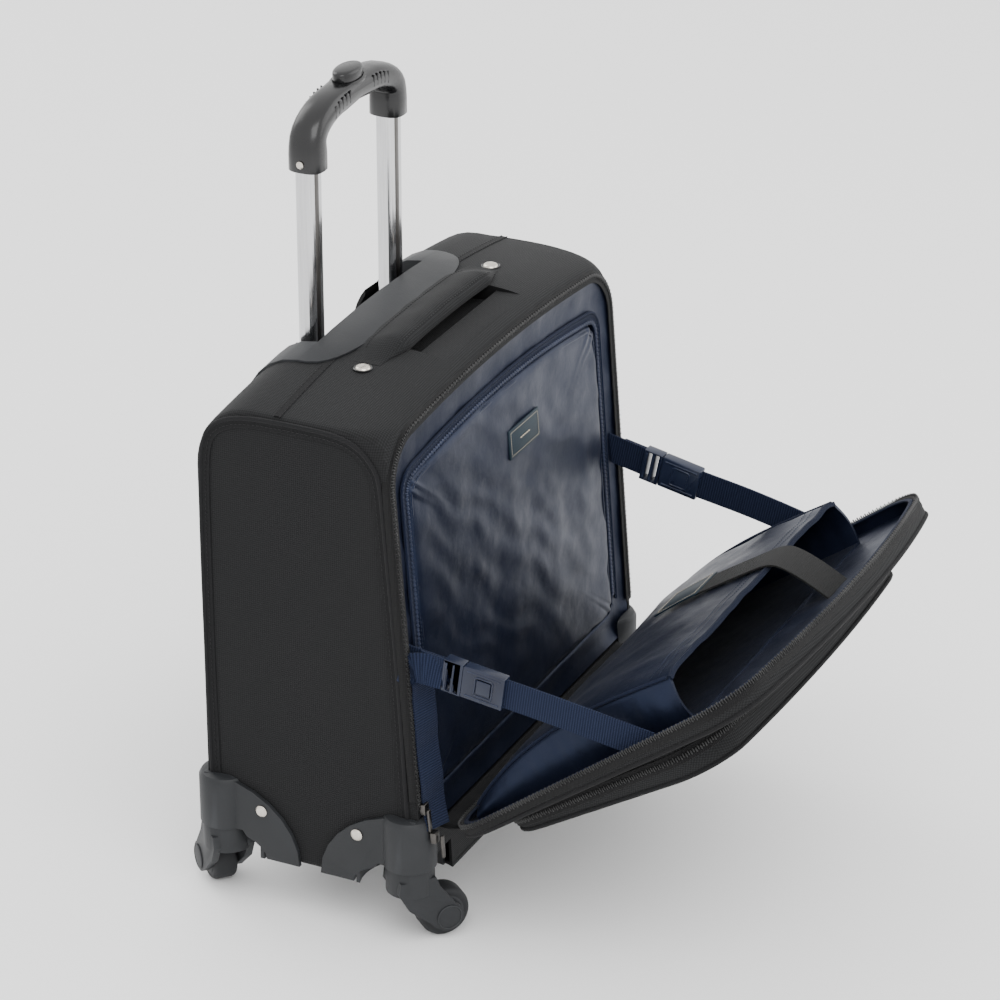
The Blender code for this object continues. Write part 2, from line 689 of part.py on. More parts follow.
def telescopic_handle():
    block("tube_bracket", "case", "gray_plastic", (-0.095, 0.048, 0.0505), (0.095, 0.0760, 0.0605))
    handle_base()
    for name, side in (("left", -1), ("right", 1)):
        tube(f"outer_tube_{name}", "case", OUTER_TUBE, 0.0608, 0.4040, side)
        tube(f"middle_tube_{name}", "middle", MIDDLE_TUBE, 0.0650, 0.4035, side)
        tube(f"inner_tube_{name}", "upper", INNER_TUBE, 0.2400, 0.6000, side)
    grip()
    for name, side in (("left", -1), ("right", 1)):
        face = POLE_X + GRIP_SLEEVE[0] + GAP
        head = [(0.0030, side * face), (0.0030, side * (face + 0.0008)), (0.0018, side * (face + 0.0014))]
        turned(f"grip_screw_{name}", "upper", "nickel", head, "case", "x", (POLE_Y, 0.5910), count=16)
    foot = GRIP_TOP + BUTTON_FOOT
    profile = [(1.0, foot), (1.0, foot + 0.008), (0.93, foot + 0.0095), (0.75, foot + 0.0105)]
    outline = oval(0.0180, 0.0098)
    rings = [[(x * scale, y * scale + POLE_Y, z) for x, y in outline] for scale, z in profile]
    solid("grip_button", "button", "black_plastic", rings, "case")


# ---------------------------------------------------------------- casters


def caster_housing(name, x, y):
    """A corner block over the swivel, a wing along the case's side and a liner in the case's notch."""
    cx, cy = x * SWIVEL_X, y * SWIVEL_Y
    crown = [(0.0215, SWIVEL_Z + 0.0005), (0.0215, 0.1090), (0.0195, 0.1125), (0.0150, 0.1140)]
    housing = turned(f"caster_housing_{name}", "case", "gray_plastic", crown, centre=(cx, cy), count=32)
    wing = [(y * p, z) for p, z in wing_outline()]
    near, far = sorted((x * (HALF_WIDTH + GAP), x * (HALF_WIDTH + 0.0040)))
    plate = slab("wing", "case", "gray_plastic", wing, near, far, "x")
    outside = [(NOTCH_RADIUS, BASE), (NOTCH_RADIUS, SWIVEL_Z + 0.0038)]
    inside = [(NOTCH_RADIUS - 0.003, 0.03), (NOTCH_RADIUS - 0.003, SWIVEL_Z + 0.0005)]
    liner = turned("liner", "case", "gray_plastic", outside, centre=(cx, cy), count=40)
    void = turned("void", "case", "gray_plastic", inside, centre=(cx, cy), count=40)
    x0, x1 = sorted((x * 0.10, x * (HALF_WIDTH + 0.0040)))
    y0, y1 = sorted((y * 0.02, y * 0.0915))
    limit = block("limit", "case", "gray_plastic", (x0, y0, 0.02), (x1, y1, 0.10))
    combine(liner, [("INTERSECT", limit), ("DIFFERENCE", void)])
    combine(housing, [("DIFFERENCE", case_volume("case_volume_corner")), ("UNION", plate), ("UNION", liner)])

    face = x * (HALF_WIDTH + 0.0040 + GAP)
    profile = ((0.0050, 0.0), (0.0050, 0.0007), (0.0038, 0.0016), (0.0015, 0.0020))
    dome = [(radius, face + x * out) for radius, out in profile]
    turned(f"housing_rivet_{name}", "case", "nickel", dome, None, "x", (y * 0.0425, 0.0905), count=16)


def wing_outline():
    """The wing's outline on the side panel, as (distance from the mid depth, height)."""
    low, top, tip = BASE + 0.0005, 0.1140, 0.0095
    reach, rise = 0.0905 - tip, top - low
    outer = [
        (0.0905 - reach * math.cos(math.radians(a)), low + rise * math.sin(math.radians(a)))
        for a in (0, 12, 24, 36, 48, 60, 72, 84, 90)
    ]
    arched = [
        (SWIVEL_Y - NOTCH_RADIUS * math.cos(math.radians(a)), low + 0.020 * math.sin(math.radians(a)))
        for a in (54, 40, 27, 13, 0)
    ]
    under = SWIVEL_Z + 0.0008
    return outer + [(SWIVEL_Y + 0.012, top), (SWIVEL_Y + 0.012, under), (SWIVEL_Y - 0.0215, under)] + arched


def caster(name, x, y):
    turn = REAR_TRAIL_TURN if y > 0 else FRONT_TRAIL_TURN
    heading = (0.0 if y > 0 else math.pi) - x * y * -turn
    swivel = pivot(f"swivel_{name}", "case", (x * SWIVEL_X, y * SWIVEL_Y, 0), turn=heading)
    hub = worlds[swivel] @ Vector((0, TRAIL, WHEEL_RADIUS)) - Vector((0, DEPTH_SHIFT, 0))
    spin = pivot(f"spin_{name}", swivel, hub, turn=heading)

    head = [(0.0195, 0.0455), (0.0195, SWIVEL_Z - 0.0005)]
    fork = turned(f"caster_fork_{name}", swivel, "gray_plastic", head, count=32)
    steps = []
    for side in (-1, 1):
        cheek = arc(TRAIL, WHEEL_RADIUS, 0.0125, -120, 60, 10)
        cheek += [(0.0190, 0.050), (0.0150, 0.060), (-0.0150, 0.060)]
        cheek += [(-0.0165, 0.050), (-0.0080, 0.034)]
        near, far = sorted((side * 0.0112, side * 0.0172))
        steps.append(("UNION", slab(f"cheek_{side}", swivel, "gray_plastic", cheek, near, far, "x")))
    bore = [(0.0033, -0.030), (0.0033, 0.030)]
    cutter = turned("bore", swivel, "gray_plastic", bore, None, "x", (TRAIL, WHEEL_RADIUS))
    steps.append(("DIFFERENCE", cutter))
    combine(fork, steps)
    pin = [(0.0030, -0.0170), (0.0030, 0.0170)]
    turned(f"caster_axle_{name}", swivel, "nickel", pin, None, "x", (TRAIL, WHEEL_RADIUS), count=16)
    half = WHEEL_WIDE / 2
    tyre = [(0.0034, -half), (0.0180, -half), (0.0202, -half + 0.0015), (WHEEL_RADIUS, -half + 0.004),
            (WHEEL_RADIUS, half - 0.004), (0.0202, half - 0.0015), (0.0180, half), (0.0034, half)]
    turned(f"caster_wheel_{name}", spin, "tread", tyre, None, "x", hoop=True, count=40)


# ---------------------------------------------------------------- assembly


def main():
    clear_scene()
    pivot("case", None, (0, 0, 0))
    pivot("rim", "case", HINGE, -RIM_LEAN)
    pivot("cover", "case", HINGE, COVER_TILT - math.pi / 2)
    panel_foot = HINGE + Matrix.Rotation(-RIM_LEAN, 3, "X") @ Vector((0, 0.0055, 0.004 + PANEL_SIDE))
    pivot("panel", "case", panel_foot, -RIM_LEAN)
    pivot("middle", "case", (0, POLE_Y, 0.4035))
    pivot("upper", "middle", (0, POLE_Y, GRIP_BOTTOM))
    pivot("button", "upper", (0, POLE_Y, GRIP_TOP + BUTTON_FOOT))
    case_shell()
    lining()
    case_zipper()
    zip_sliders()
    carry_handle()
    cover_tray()
    front_pocket()
    cover_zipper()
    laptop_sleeve()
    sleeve_tab()
    compartment_panel()
    for name, values in STRAPS.items():
        strap(name, *values)
    telescopic_handle()
    for name, x, y in corners():
        caster_housing(name, x, y)
        caster(name, x, y)


main()
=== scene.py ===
"""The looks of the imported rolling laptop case: fabric, linings, zips, webbing, plastics, light and camera."""
import json
import math

import bmesh
import bpy
from mathutils import Matrix, Vector, noise

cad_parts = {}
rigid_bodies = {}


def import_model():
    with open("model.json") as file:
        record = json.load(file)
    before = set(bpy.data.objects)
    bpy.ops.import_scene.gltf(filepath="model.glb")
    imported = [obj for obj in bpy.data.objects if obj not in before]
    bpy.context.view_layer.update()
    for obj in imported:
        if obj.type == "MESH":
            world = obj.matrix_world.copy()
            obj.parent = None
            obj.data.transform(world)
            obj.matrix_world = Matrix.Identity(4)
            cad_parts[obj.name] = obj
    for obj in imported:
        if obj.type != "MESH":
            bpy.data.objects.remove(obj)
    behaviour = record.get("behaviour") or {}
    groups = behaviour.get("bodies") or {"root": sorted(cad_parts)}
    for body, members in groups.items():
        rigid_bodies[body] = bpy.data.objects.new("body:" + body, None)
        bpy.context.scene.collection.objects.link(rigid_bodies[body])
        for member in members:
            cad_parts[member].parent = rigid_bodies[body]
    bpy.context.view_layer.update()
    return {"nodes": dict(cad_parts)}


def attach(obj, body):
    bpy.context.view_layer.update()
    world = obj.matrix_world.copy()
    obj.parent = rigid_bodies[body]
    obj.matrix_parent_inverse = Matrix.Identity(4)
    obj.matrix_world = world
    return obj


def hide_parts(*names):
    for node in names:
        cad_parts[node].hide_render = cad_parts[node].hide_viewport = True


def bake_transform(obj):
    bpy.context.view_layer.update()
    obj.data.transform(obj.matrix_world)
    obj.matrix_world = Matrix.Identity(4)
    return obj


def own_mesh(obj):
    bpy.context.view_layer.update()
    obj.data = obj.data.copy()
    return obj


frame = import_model()

# Dimensions in metres, shared with the CAD model
SHIFT = 0.13389
HALF, BASE, TOP, BACK, WALL = 0.200, 0.047, 0.435, 0.092, 0.003
CROWN, BACK_CROWN = 0.017, 0.009
BACK_TOP_ROUND, BACK_BASE_ROUND, EDGE_ROUND = 0.046, 0.018, 0.006
ROUND_START, RIM_ROUND, RIM_DROP, RIM_CROWN_LOSS = -0.017, 0.0385, 0.0076, 0.0044
LEAN, TILT = math.radians(4.3), math.radians(52.94)
HINGE = Vector((0, -0.0977, 0.0895))
SEAM_Y = 0.0226
RIM_TOP = (TOP - RIM_DROP - HINGE.z) / math.cos(LEAN)

SHIFTED = Matrix.Translation((0, SHIFT, 0))
RIM = SHIFTED @ Matrix.Translation(HINGE) @ Matrix.Rotation(-LEAN, 4, "X")
COVER = SHIFTED @ Matrix.Translation(HINGE) @ Matrix.Rotation(TILT - math.pi / 2, 4, "X")


# ---------------------------------------------------------------- shapes


def arc(cx, cy, radius, start, stop, steps):
    turns = [math.radians(start + (stop - start) * i / steps) for i in range(steps + 1)]
    return [(cx + radius * math.cos(t), cy + radius * math.sin(t)) for t in turns]


def arch(half, low, high, crown, low_round, high_round, steps=6, top=20, side=14, foot=12):
    """A rounded rectangle with many points whose upper edge bows up by crown."""
    lx, hx = half - low_round, half - high_round
    z0, z1 = low + low_round, high - high_round
    points = arc(lx, z0, low_round, -90, 0, steps)
    points += [(half, z0 + (z1 - z0) * i / side) for i in range(1, side)]
    points += arc(hx, z1, high_round, 0, 90, steps)
    points += [(hx * (1 - 2 * i / top), high) for i in range(1, top)]
    points += arc(-hx, z1, high_round, 90, 180, steps)
    points += [(-half, z1 + (z0 - z1) * i / side) for i in range(1, side)]
    points += arc(-lx, z0, low_round, 180, 270, steps)
    points += [(-lx * (1 - 2 * i / foot), low) for i in range(1, foot)]
    middle = (low + high) / 2
    return [(x, z + crown * (1 - (x / half) ** 2) * max(0.0, (z - middle) / (high - middle))) for x,
            z in points]


def piece(name, verts, faces, material, smooth=40):
    data = bpy.data.meshes.new(name)
    data.from_pydata([tuple(v) for v in verts], [], faces)
    data.validate()
    data.update()
    for polygon in data.polygons:
        polygon.use_smooth = True
    data.set_sharp_from_angle(angle=math.radians(smooth))
    obj = bpy.data.objects.new(name, data)
    bpy.context.scene.collection.objects.link(obj)
    data.materials.append(material)
    return obj


def loft(name, rings, material, place=SHIFTED, cap=True, hoop=False, smooth=40):
    """Rings of equal length joined in order, each ring closed on itself."""
    n = len(rings[0])
    verts = [place @ Vector(p) for ring in rings for p in ring]
    faces = []
    count = len(rings)
    for i in range(count if hoop else count - 1):
        a, b = i * n, (i + 1) % count * n
        for j in range(n):
            k = (j + 1) % n
            faces.append((a + j, a + k, b + k, b + j))
    if cap and not hoop:
        faces += [tuple(range(n))[::-1], tuple(range((count - 1) * n, count * n))]
    obj = piece(name, verts, faces, material, smooth)
    face_out(obj)
    return obj


def face_out(obj):
    """Turns every face outwards."""
    bm = bmesh.new()
    bm.from_mesh(obj.data)
    bmesh.ops.recalc_face_normals(bm, faces=bm.faces)
    bm.to_mesh(obj.data)
    bm.free()


def sheet_grid(name, point, nu, nv, material, place, thick=0.0):
    """A surface of nu by nv cells from point(s, t) with s and t from 0 to 1."""
    verts, faces = [], []
    for j in range(nv + 1):
        for i in range(nu + 1):
            verts.append(place @ Vector(point(i / nu, j / nv)))
    w = nu + 1
    for j in range(nv):
        for i in range(nu):
            faces.append((j * w + i, j * w + i + 1, (j + 1) * w + i + 1, (j + 1) * w + i))
    obj = piece(name, verts, faces, material, 60)
    if thick:
        change = obj.modifiers.new("thick", "SOLIDIFY")
        change.thickness = thick
        change.offset = 0
        bake(obj)
    return obj


def bake(obj):
    graph = bpy.context.evaluated_depsgraph_get()
    data = bpy.data.meshes.new_from_object(obj.evaluated_get(graph))
    obj.modifiers.clear()
    obj.data = data


def cut(obj, steps):
    for operation, cutter in steps:
        change = obj.modifiers.new(operation.lower(), "BOOLEAN")
        change.operation, change.solver, change.object = operation, "EXACT", cutter
    bpy.context.view_layer.update()
    bake(obj)
    for _, cutter in steps:
        bpy.data.objects.remove(cutter, do_unlink=True)
    obj.data.set_sharp_from_angle(angle=math.radians(35))


def box(name, low, high, material, place=SHIFTED):
    (x0, y0, z0), (x1, y1, z1) = low, high
    rings = [[(x0, y0, z), (x1, y0, z), (x1, y1, z), (x0, y1, z)] for z in (z0, z1)]
    return loft(name, rings, material, place)


def soften(obj, width, segments=3, angle=30):
    change = obj.modifiers.new("soft", "BEVEL")
    change.width, change.segments, change.limit_method = width, segments, "ANGLE"
    change.angle_limit = math.radians(angle)
    change.harden_normals = False
    bake(obj)
    for polygon in obj.data.polygons:
        polygon.use_smooth = True
    obj.data.set_sharp_from_angle(angle=math.radians(40))
    return obj


def spaced(path, pitch, closed=False):
    """Points at equal steps along a path, with the direction of travel at each."""
    points = [Vector(p) for p in path] + ([Vector(path[0])] if closed else [])
    lengths = [0.0]
    for a, b in zip(points, points[1:]):
        lengths.append(lengths[-1] + (b - a).length)
    count = max(1, round(lengths[-1] / pitch))
    found, k = [], 0
    for i in range(count if closed else count + 1):
        at = lengths[-1] * i / count
        while k < len(lengths) - 2 and lengths[k + 1] < at:
            k += 1
        span = lengths[k + 1] - lengths[k]
        share = (at - lengths[k]) / span if span else 0
        found.append(points[k].lerp(points[k + 1], share))
    n = len(found)
    out = []
    for i, p in enumerate(found):
        before = found[i - 1] if (i or closed) else p
        after = found[(i + 1) % n] if (i < n - 1 or closed) else p
        out.append((p, (after - before).normalized()))
    return out


def sweep(name, path, section, material, up, place=Matrix.Identity(4), closed=False, pitch=0.004,
          smooth=50):
    """A section of (across, along up) points carried along a path; up is a vector or a function of the point."""
    rings = []
    for p, along in spaced(path, pitch, closed):
        normal = Vector(up(p) if callable(up) else up)
        across = along.cross(normal).normalized()
        normal = across.cross(along).normalized()
        rings.append([p + across * a + normal * b for a, b in section])
    return loft(name, rings, material, place, cap=not closed, hoop=closed, smooth=smooth)


def turns(count, shift=0.0):
    """Angles evenly round a circle."""
    return [2 * math.pi * (i + shift) / count for i in range(count)]


def rod(radius, sides):
    return [(radius * math.cos(t), radius * math.sin(t)) for t in turns(sides)]


def beads(name, path, pitch, shape, material, up, place=Matrix.Identity(4), closed=False, skip=None):
    """One small body at each step of a path. shape(i) gives rings of (along, across, up) points."""
    verts, faces = [], []
    for i, (p, along) in enumerate(spaced(path, pitch, closed)):
        if skip and skip(p):
            continue
        normal = Vector(up(p) if callable(up) else up)
        across = along.cross(normal).normalized()
        normal = across.cross(along).normalized()
        rings = shape(i)
        n = len(rings[0])
        first = len(verts)
        for ring in rings:
            for a, b, c in ring:
                verts.append(place @ (p + along * a + across * b + normal * c))
        for r in range(len(rings) - 1):
            for j in range(n):
                k = (j + 1) % n
                faces.append((first + r * n + j, first + r * n + k, first + (r + 1) * n + k,
                              first + (r + 1) * n + j))
        faces.append(tuple(first + j for j in range(n))[::-1])
        faces.append(tuple(first + (len(rings) - 1) * n + j for j in range(n)))
    obj = piece(name, verts, faces, material, 60)
    face_out(obj)
    return obj


def tape_section(half, flat, low, high):
    """The section of a tape: half wide at low, flat half wide at high."""
    return [(-half, low), (-flat, high), (flat, high), (half, low)]


def stitch(length=0.0026, radius=0.00035):
    """A thread lying along the path, sunk at its ends."""
    def shape(_):
        rings = []
        for a, r, c in ((-0.5, 0.3, -0.3), (-0.32, 0.9, 0.35), (0.0, 1.0, 0.6), (0.32, 0.9, 0.35),
                        (0.5, 0.3, -0.3)):
            rings.append([(a * length, radius * r * math.cos(t), radius * (c + r * math.sin(t)))
                          for t in (0, 1.257, 2.513, 3.770, 5.027)])
        return rings
    return shape


def tooth(wide=0.0052, long=0.0011, high=0.0011):
    """One turn of a coil zip, across its path."""
    def shape(i):
        side = 0.00045 if i % 2 else -0.00045
        rings = []
        for b, r in ((-0.5, 0.35), (-0.38, 0.85), (0.0, 1.0), (0.38, 0.85), (0.5, 0.35)):
            rings.append([(long / 2 * r * math.cos(t), b * wide + side,
                           high * (0.5 + 0.5 * r * math.sin(t)))
                          for t in (0, 1.047, 2.094, 3.142, 4.189, 5.236)])
        return rings
    return shape


def waves(p, size, seed=0.0):
    return noise.noise(Vector((p[0] / size + seed, p[1] / size - seed, p[2] / size + 2 * seed)))


def store_cloth(obj, values):
    data = obj.data
    layer = data.attributes.get("cloth") or data.attributes.new("cloth", "FLOAT_VECTOR", "CORNER")
    layer.data.foreach_set("vector", values)
    return obj


def cloth_uv(obj):
    """Stores flat cloth coordinates in metres on every corner, from the face's main direction."""
    data = obj.data
    values = []
    for polygon in data.polygons:
        n = [abs(c) for c in polygon.normal]
        k = n.index(max(n))
        for index in polygon.loop_indices:
            co = data.vertices[data.loops[index].vertex_index].co
            pair = (co.y, co.z) if k == 0 else (co.x, co.z) if k == 1 else (co.x, co.y)
            values += [pair[0], pair[1], 0.0]
    return store_cloth(obj, values)


# ---------------------------------------------------------------- materials


class Tree:
    """A short way to write node trees: inputs take numbers, colours or other nodes' outputs."""

    def __init__(self, name):
        self.material = bpy.data.materials.new(name)
        self.material.use_nodes = True
        self.nodes = self.material.node_tree.nodes
        self.links = self.material.node_tree.links
        self.shader = self.nodes["Principled BSDF"]

    def node(self, kind, inputs=None, **settings):
        made = self.nodes.new(kind)
        for key, value in settings.items():
            setattr(made, key, value)
        for key, value in (inputs or {}).items():
            self.put(made.inputs[key], value)
        return made

    def put(self, socket, value):
        if isinstance(value, bpy.types.NodeSocket):
            self.links.new(value, socket)
        else:
            socket.default_value = value

    def math(self, operation, a, b=0.0, clamp=False):
        made = self.node("ShaderNodeMath", {0: a, 1: b}, operation=operation)
        made.use_clamp = clamp
        return made.outputs[0]

    def noise(self, vector, scale, detail=3.0, rough=0.5):
        made = self.node("ShaderNodeTexNoise",
                         {"Vector": vector, "Scale": scale, "Detail": detail, "Roughness": rough})
        return made.outputs["Fac"]

    def ramp(self, value, low, high, to_low=0.0, to_high=1.0):
        made = self.node("ShaderNodeMapRange", {"Value": value, "From Min": low, "From Max": high,
                                               "To Min": to_low, "To Max": to_high})
        return made.outputs["Result"]

    def blend(self, share, first, second):
        made = self.node("ShaderNodeMix", data_type="RGBA")
        self.put(made.inputs["Factor"], share)
        self.put(made.inputs[6], first if isinstance(first, bpy.types.NodeSocket) else (*first, 1))
        self.put(made.inputs[7], second if isinstance(second, bpy.types.NodeSocket) else (*second, 1))
        return made.outputs[2]

    def bump(self, height, distance, strength):
        made = self.node("ShaderNodeBump", {"Height": height, "Distance": distance, "Strength": strength})
        return made.outputs["Normal"]

    def set(self, **values):
        for key, value in values.items():
            self.put(self.shader.inputs[key.replace("_", " ")], value)
        return self.material


def cloth_axes(t):
    source = t.node("ShaderNodeAttribute", attribute_name="cloth").outputs["Vector"]
    split = t.node("ShaderNodeSeparateXYZ", {0: source})
    return split.outputs[0], split.outputs[1]


def object_axes(t):
    return t.node("ShaderNodeTexCoord").outputs["Object"]


def ripstop(name, dark, light, pitch=0.0018, rough=0.82):
    """A plain weave of thick yarns: each crossing stands up, and the grooves are dark."""
    t = Tree(name)
    u, v = cloth_axes(t)
    place = object_axes(t)
    turn = 2 * math.pi / pitch
    a = t.math("SINE", t.math("MULTIPLY", u, turn))
    b = t.math("SINE", t.math("MULTIPLY", v, turn))
    a2 = t.math("SINE", t.math("MULTIPLY", u, turn / 2))
    b2 = t.math("SINE", t.math("MULTIPLY", v, turn / 2))
    over = t.ramp(t.math("MULTIPLY", a2, b2), -1.0, 1.0)
    grid = t.ramp(t.math("ADD", a, b), -2.0, 2.0)
    weave = t.math("ADD", t.math("MULTIPLY", grid, 0.88), t.math("MULTIPLY", over, 0.12))
    patchy = t.noise(place, 9.0, 4.0)
    lint = t.noise(place, 420.0, 2.0)
    shade = t.math("ADD", t.math("MULTIPLY", weave, 0.75), t.math("MULTIPLY", patchy, 0.30))
    shade = t.math("ADD", shade, t.math("MULTIPLY", lint, 0.18))
    colour = t.blend(t.ramp(shade, 0.25, 1.0), dark, light)
    height = t.math("ADD", weave, t.math("MULTIPLY", lint, 0.3))
    return t.set(Base_Color=colour, Roughness=t.ramp(patchy, 0.3, 0.7, rough - 0.05, rough + 0.07),
                 Sheen_Weight=0.03, Sheen_Roughness=0.45, Specular_IOR_Level=0.18,
                 Normal=t.bump(height, 0.00035, 0.8))


def taffeta(name, dark, light, rough=0.44):
    """Thin smooth lining: very fine yarns, small creases and soft gloss."""
    t = Tree(name)
    u, v = cloth_axes(t)
    place = object_axes(t)
    fine = t.math("MULTIPLY", t.math("SINE", t.math("MULTIPLY", u, 2 * math.pi / 0.0007)),
                  t.math("SINE", t.math("MULTIPLY", v, 2 * math.pi / 0.0007)))
    crease = t.noise(place, 38.0, 5.0, 0.55)
    broad = t.noise(place, 14.0, 3.0)
    colour = t.blend(t.ramp(broad, 0.3, 0.7), dark, light)
    height = t.math("ADD", crease, t.math("MULTIPLY", fine, 0.02))
    return t.set(Base_Color=colour, Roughness=t.ramp(crease, 0.3, 0.7, rough - 0.07, rough + 0.08),
                 Sheen_Weight=0.02, Sheen_Roughness=0.35, Specular_IOR_Level=0.36, Specular_Tint=NAVY_TINT,
                 Normal=t.bump(height, 0.0016, 0.5))


def webbing(name, dark, light, pitch=0.0021, tint=(1, 1, 1, 1)):
    """Ribbed webbing: rows across the strap, broken up by the warp."""
    t = Tree(name)
    u, v = cloth_axes(t)
    place = object_axes(t)
    rows = t.math("SINE", t.math("MULTIPLY", u, 2 * math.pi / pitch))
    warp = t.math("SINE", t.math("MULTIPLY", v, 2 * math.pi / 0.0016))
    weave = t.ramp(t.math("ADD", t.math("MULTIPLY", rows, 0.75), t.math("MULTIPLY", warp, 0.25)), -1.0, 1.0)
    fuzz = t.noise(place, 700.0, 2.0)
    shade = t.math("ADD", t.math("MULTIPLY", weave, 0.8), t.math("MULTIPLY", fuzz, 0.3))
    colour = t.blend(t.ramp(shade, 0.2, 1.0), dark, light)
    return t.set(Base_Color=colour, Roughness=0.8, Sheen_Weight=0.03, Sheen_Roughness=0.5,
                 Specular_IOR_Level=0.2, Specular_Tint=tint, Normal=t.bump(shade, 0.0006, 0.9))


def moulded(name, colour, worn, rough=0.5, grain=900.0, depth=0.00012, wear=0.5, shine=0.25):
    """Moulded plastic: fine grain, faint flow marks, and lighter rubbed edges."""
    t = Tree(name)
    place = object_axes(t)
    speck = t.noise(place, grain, 2.0)
    flow = t.noise(place, 22.0, 4.0)
    edge = t.node("ShaderNodeNewGeometry").outputs["Pointiness"]
    rub = t.math("MULTIPLY", t.ramp(edge, 0.52, 0.60), t.ramp(flow, 0.35, 0.65, 0.2, 1.0), clamp=True)
    share = t.math("ADD", t.math("MULTIPLY", rub, wear), t.math("MULTIPLY", t.ramp(flow, 0.3, 0.7), 0.18),
                   clamp=True)
    tone = t.blend(share, colour, worn)
    return t.set(Base_Color=tone, Roughness=t.ramp(flow, 0.3, 0.7, rough - 0.05, rough + 0.06),
                 Specular_IOR_Level=shine, Normal=t.bump(speck, depth, 0.5))


def metal(name, colour, rough=0.2, streak=(900.0, 900.0, 30.0), depth=0.00002):
    t = Tree(name)
    place = object_axes(t)
    lines = t.node("ShaderNodeMapping", {"Vector": place, "Scale": streak}).outputs[0]
    grain = t.noise(lines, 1.0, 3.0)
    smear = t.noise(place, 45.0, 3.0)
    tone = t.blend(t.ramp(grain, 0.3, 0.7), [c * 0.86 for c in colour], colour)
    return t.set(Base_Color=tone, Metallic=1.0, Roughness=t.ramp(smear, 0.3, 0.7, rough, rough + 0.12),
                 Normal=t.bump(grain, depth, 0.4))


NAVY_TINT = (0.42, 0.54, 0.95, 1)
SHELL = ripstop("shell_weave", (0.0025, 0.0026, 0.0029), (0.0170, 0.0175, 0.0185))
# A darker copy of the shell weave for the side panels: painted shade on the faces turned away from the overhead
# light, same fabric as the top.
SHADED_SIDE_WEAVE = ripstop("side_weave", (0.0020, 0.0021, 0.0024), (0.0130, 0.0132, 0.0140))
PLAIN = ripstop("band_weave", (0.0018, 0.0018, 0.0021), (0.0095, 0.0096, 0.0105), pitch=0.0012)
PIPING = ripstop("piping_weave", (0.0025, 0.0025, 0.0030), (0.0120, 0.0120, 0.0130), pitch=0.0011)
LINING = taffeta("navy_taffeta", (0.0030, 0.0042, 0.0095), (0.0052, 0.0070, 0.0150))
FACING = taffeta("navy_facing", (0.0025, 0.0034, 0.0078), (0.0042, 0.0056, 0.0125), rough=0.5)
TAPE = webbing("navy_tape", (0.0035, 0.0050, 0.0125), (0.0095, 0.0130, 0.0280), pitch=0.0011,
               tint=NAVY_TINT)
NAVY_COIL = moulded("navy_coil", (0.0120, 0.0170, 0.0370), (0.04, 0.05, 0.09), 0.35)
BLACK_TAPE = webbing("black_tape", (0.002, 0.002, 0.0023), (0.0085, 0.0085, 0.0090), pitch=0.0011)
BLACK_COIL = moulded("black_coil", (0.0100, 0.0100, 0.0105), (0.04, 0.04, 0.04), 0.35)
STRAP = webbing("navy_webbing", (0.0035, 0.0050, 0.0125), (0.0150, 0.0205, 0.0430), tint=NAVY_TINT)
THREAD = moulded("navy_thread", (0.0100, 0.0140, 0.0300), (0.03, 0.04, 0.07), 0.6)
BLACK_THREAD = moulded("black_thread", (0.0045, 0.0045, 0.0050), (0.014, 0.014, 0.015), 0.6)
ELASTIC = webbing("black_elastic", (0.004, 0.004, 0.004), (0.018, 0.018, 0.018), pitch=0.0014)
PATCH = moulded("teal_leather", (0.0050, 0.0135, 0.0210), (0.016, 0.030, 0.042), 0.55, grain=500.0,
                depth=0.0003)
MARK = moulded("pale_stitch", (0.42, 0.36, 0.28), (0.5, 0.45, 0.36), 0.6)
BUCKLE = moulded("navy_acetal", (0.0045, 0.0070, 0.0190), (0.028, 0.038, 0.070), 0.26, depth=0.00004,
                 wear=0.7, shine=0.35)
GRAY = moulded("gray_plastic", (0.0125, 0.0135, 0.0150), (0.036, 0.038, 0.042), 0.50, depth=0.00025)
BLACK = moulded("grip_plastic", (0.0030, 0.0030, 0.0034), (0.014, 0.014, 0.015), 0.24, depth=0.00004,
                shine=0.45)
# Near black: the tube collars' own dark plastic, and painted shade on the case shell's inward faces in its
# recess, scoop and caster notches.
DARK_PLASTIC_AND_SHADE = moulded("recess_plastic", (0.0030, 0.0030, 0.0034), (0.01, 0.01, 0.01), 0.6)
TYRE = moulded("wheel_tread", (0.0110, 0.0118, 0.0130), (0.03, 0.03, 0.034), 0.6, depth=0.0002)
CHROME = metal("tube_metal", (0.60, 0.60, 0.61), 0.12)
NICKEL = metal("nickel", (0.62, 0.58, 0.52), 0.22, (300.0, 300.0, 300.0))
GUN = metal("gunmetal", (0.09, 0.085, 0.08), 0.28, (300.0, 300.0, 300.0))

CARRIED = {
    "handle_base": GRAY, "tube_bracket": GRAY, "caster_housing": GRAY, "caster_fork": GRAY,
    "outer_tube": CHROME, "middle_tube": CHROME, "inner_tube": CHROME, "grip_screw": NICKEL,
    "grip": BLACK, "caster_wheel": TYRE, "caster_axle": NICKEL, "carry_rivet": NICKEL,
    "housing_rivet": NICKEL,
    "zip_slider": GUN, "zip_pull": GUN, "buckle_": BUCKLE, "back_lining": LINING,
    "compartment_panel": LINING,
    "front_lining": FACING, "panel_pad": LINING, "laptop_sleeve": LINING, "cover_tray": SHELL,
    "front_pocket": SHELL,
    "case_shell": SHELL, "carry_handle": SHELL, "case_strap": STRAP, "cover_strap": STRAP,
    "sleeve_tab": ELASTIC,
    "case_zipper": BLACK_COIL, "cover_zipper": BLACK_COIL,
}
for name, node in frame["nodes"].items():
    found = next(material for start, material in CARRIED.items() if name.startswith(start))
    node.data.materials.clear()
    node.data.materials.append(found)
    cloth_uv(node)


def done(obj, body, *nodes):
    """Gives a finished piece its cloth coordinates and body, and hides the nodes it stands for."""
    if "cloth" not in obj.data.attributes:
        cloth_uv(obj)
    if nodes:
        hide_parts(*nodes)
    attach(obj, body)
    return obj


# ---------------------------------------------------------------- case shell


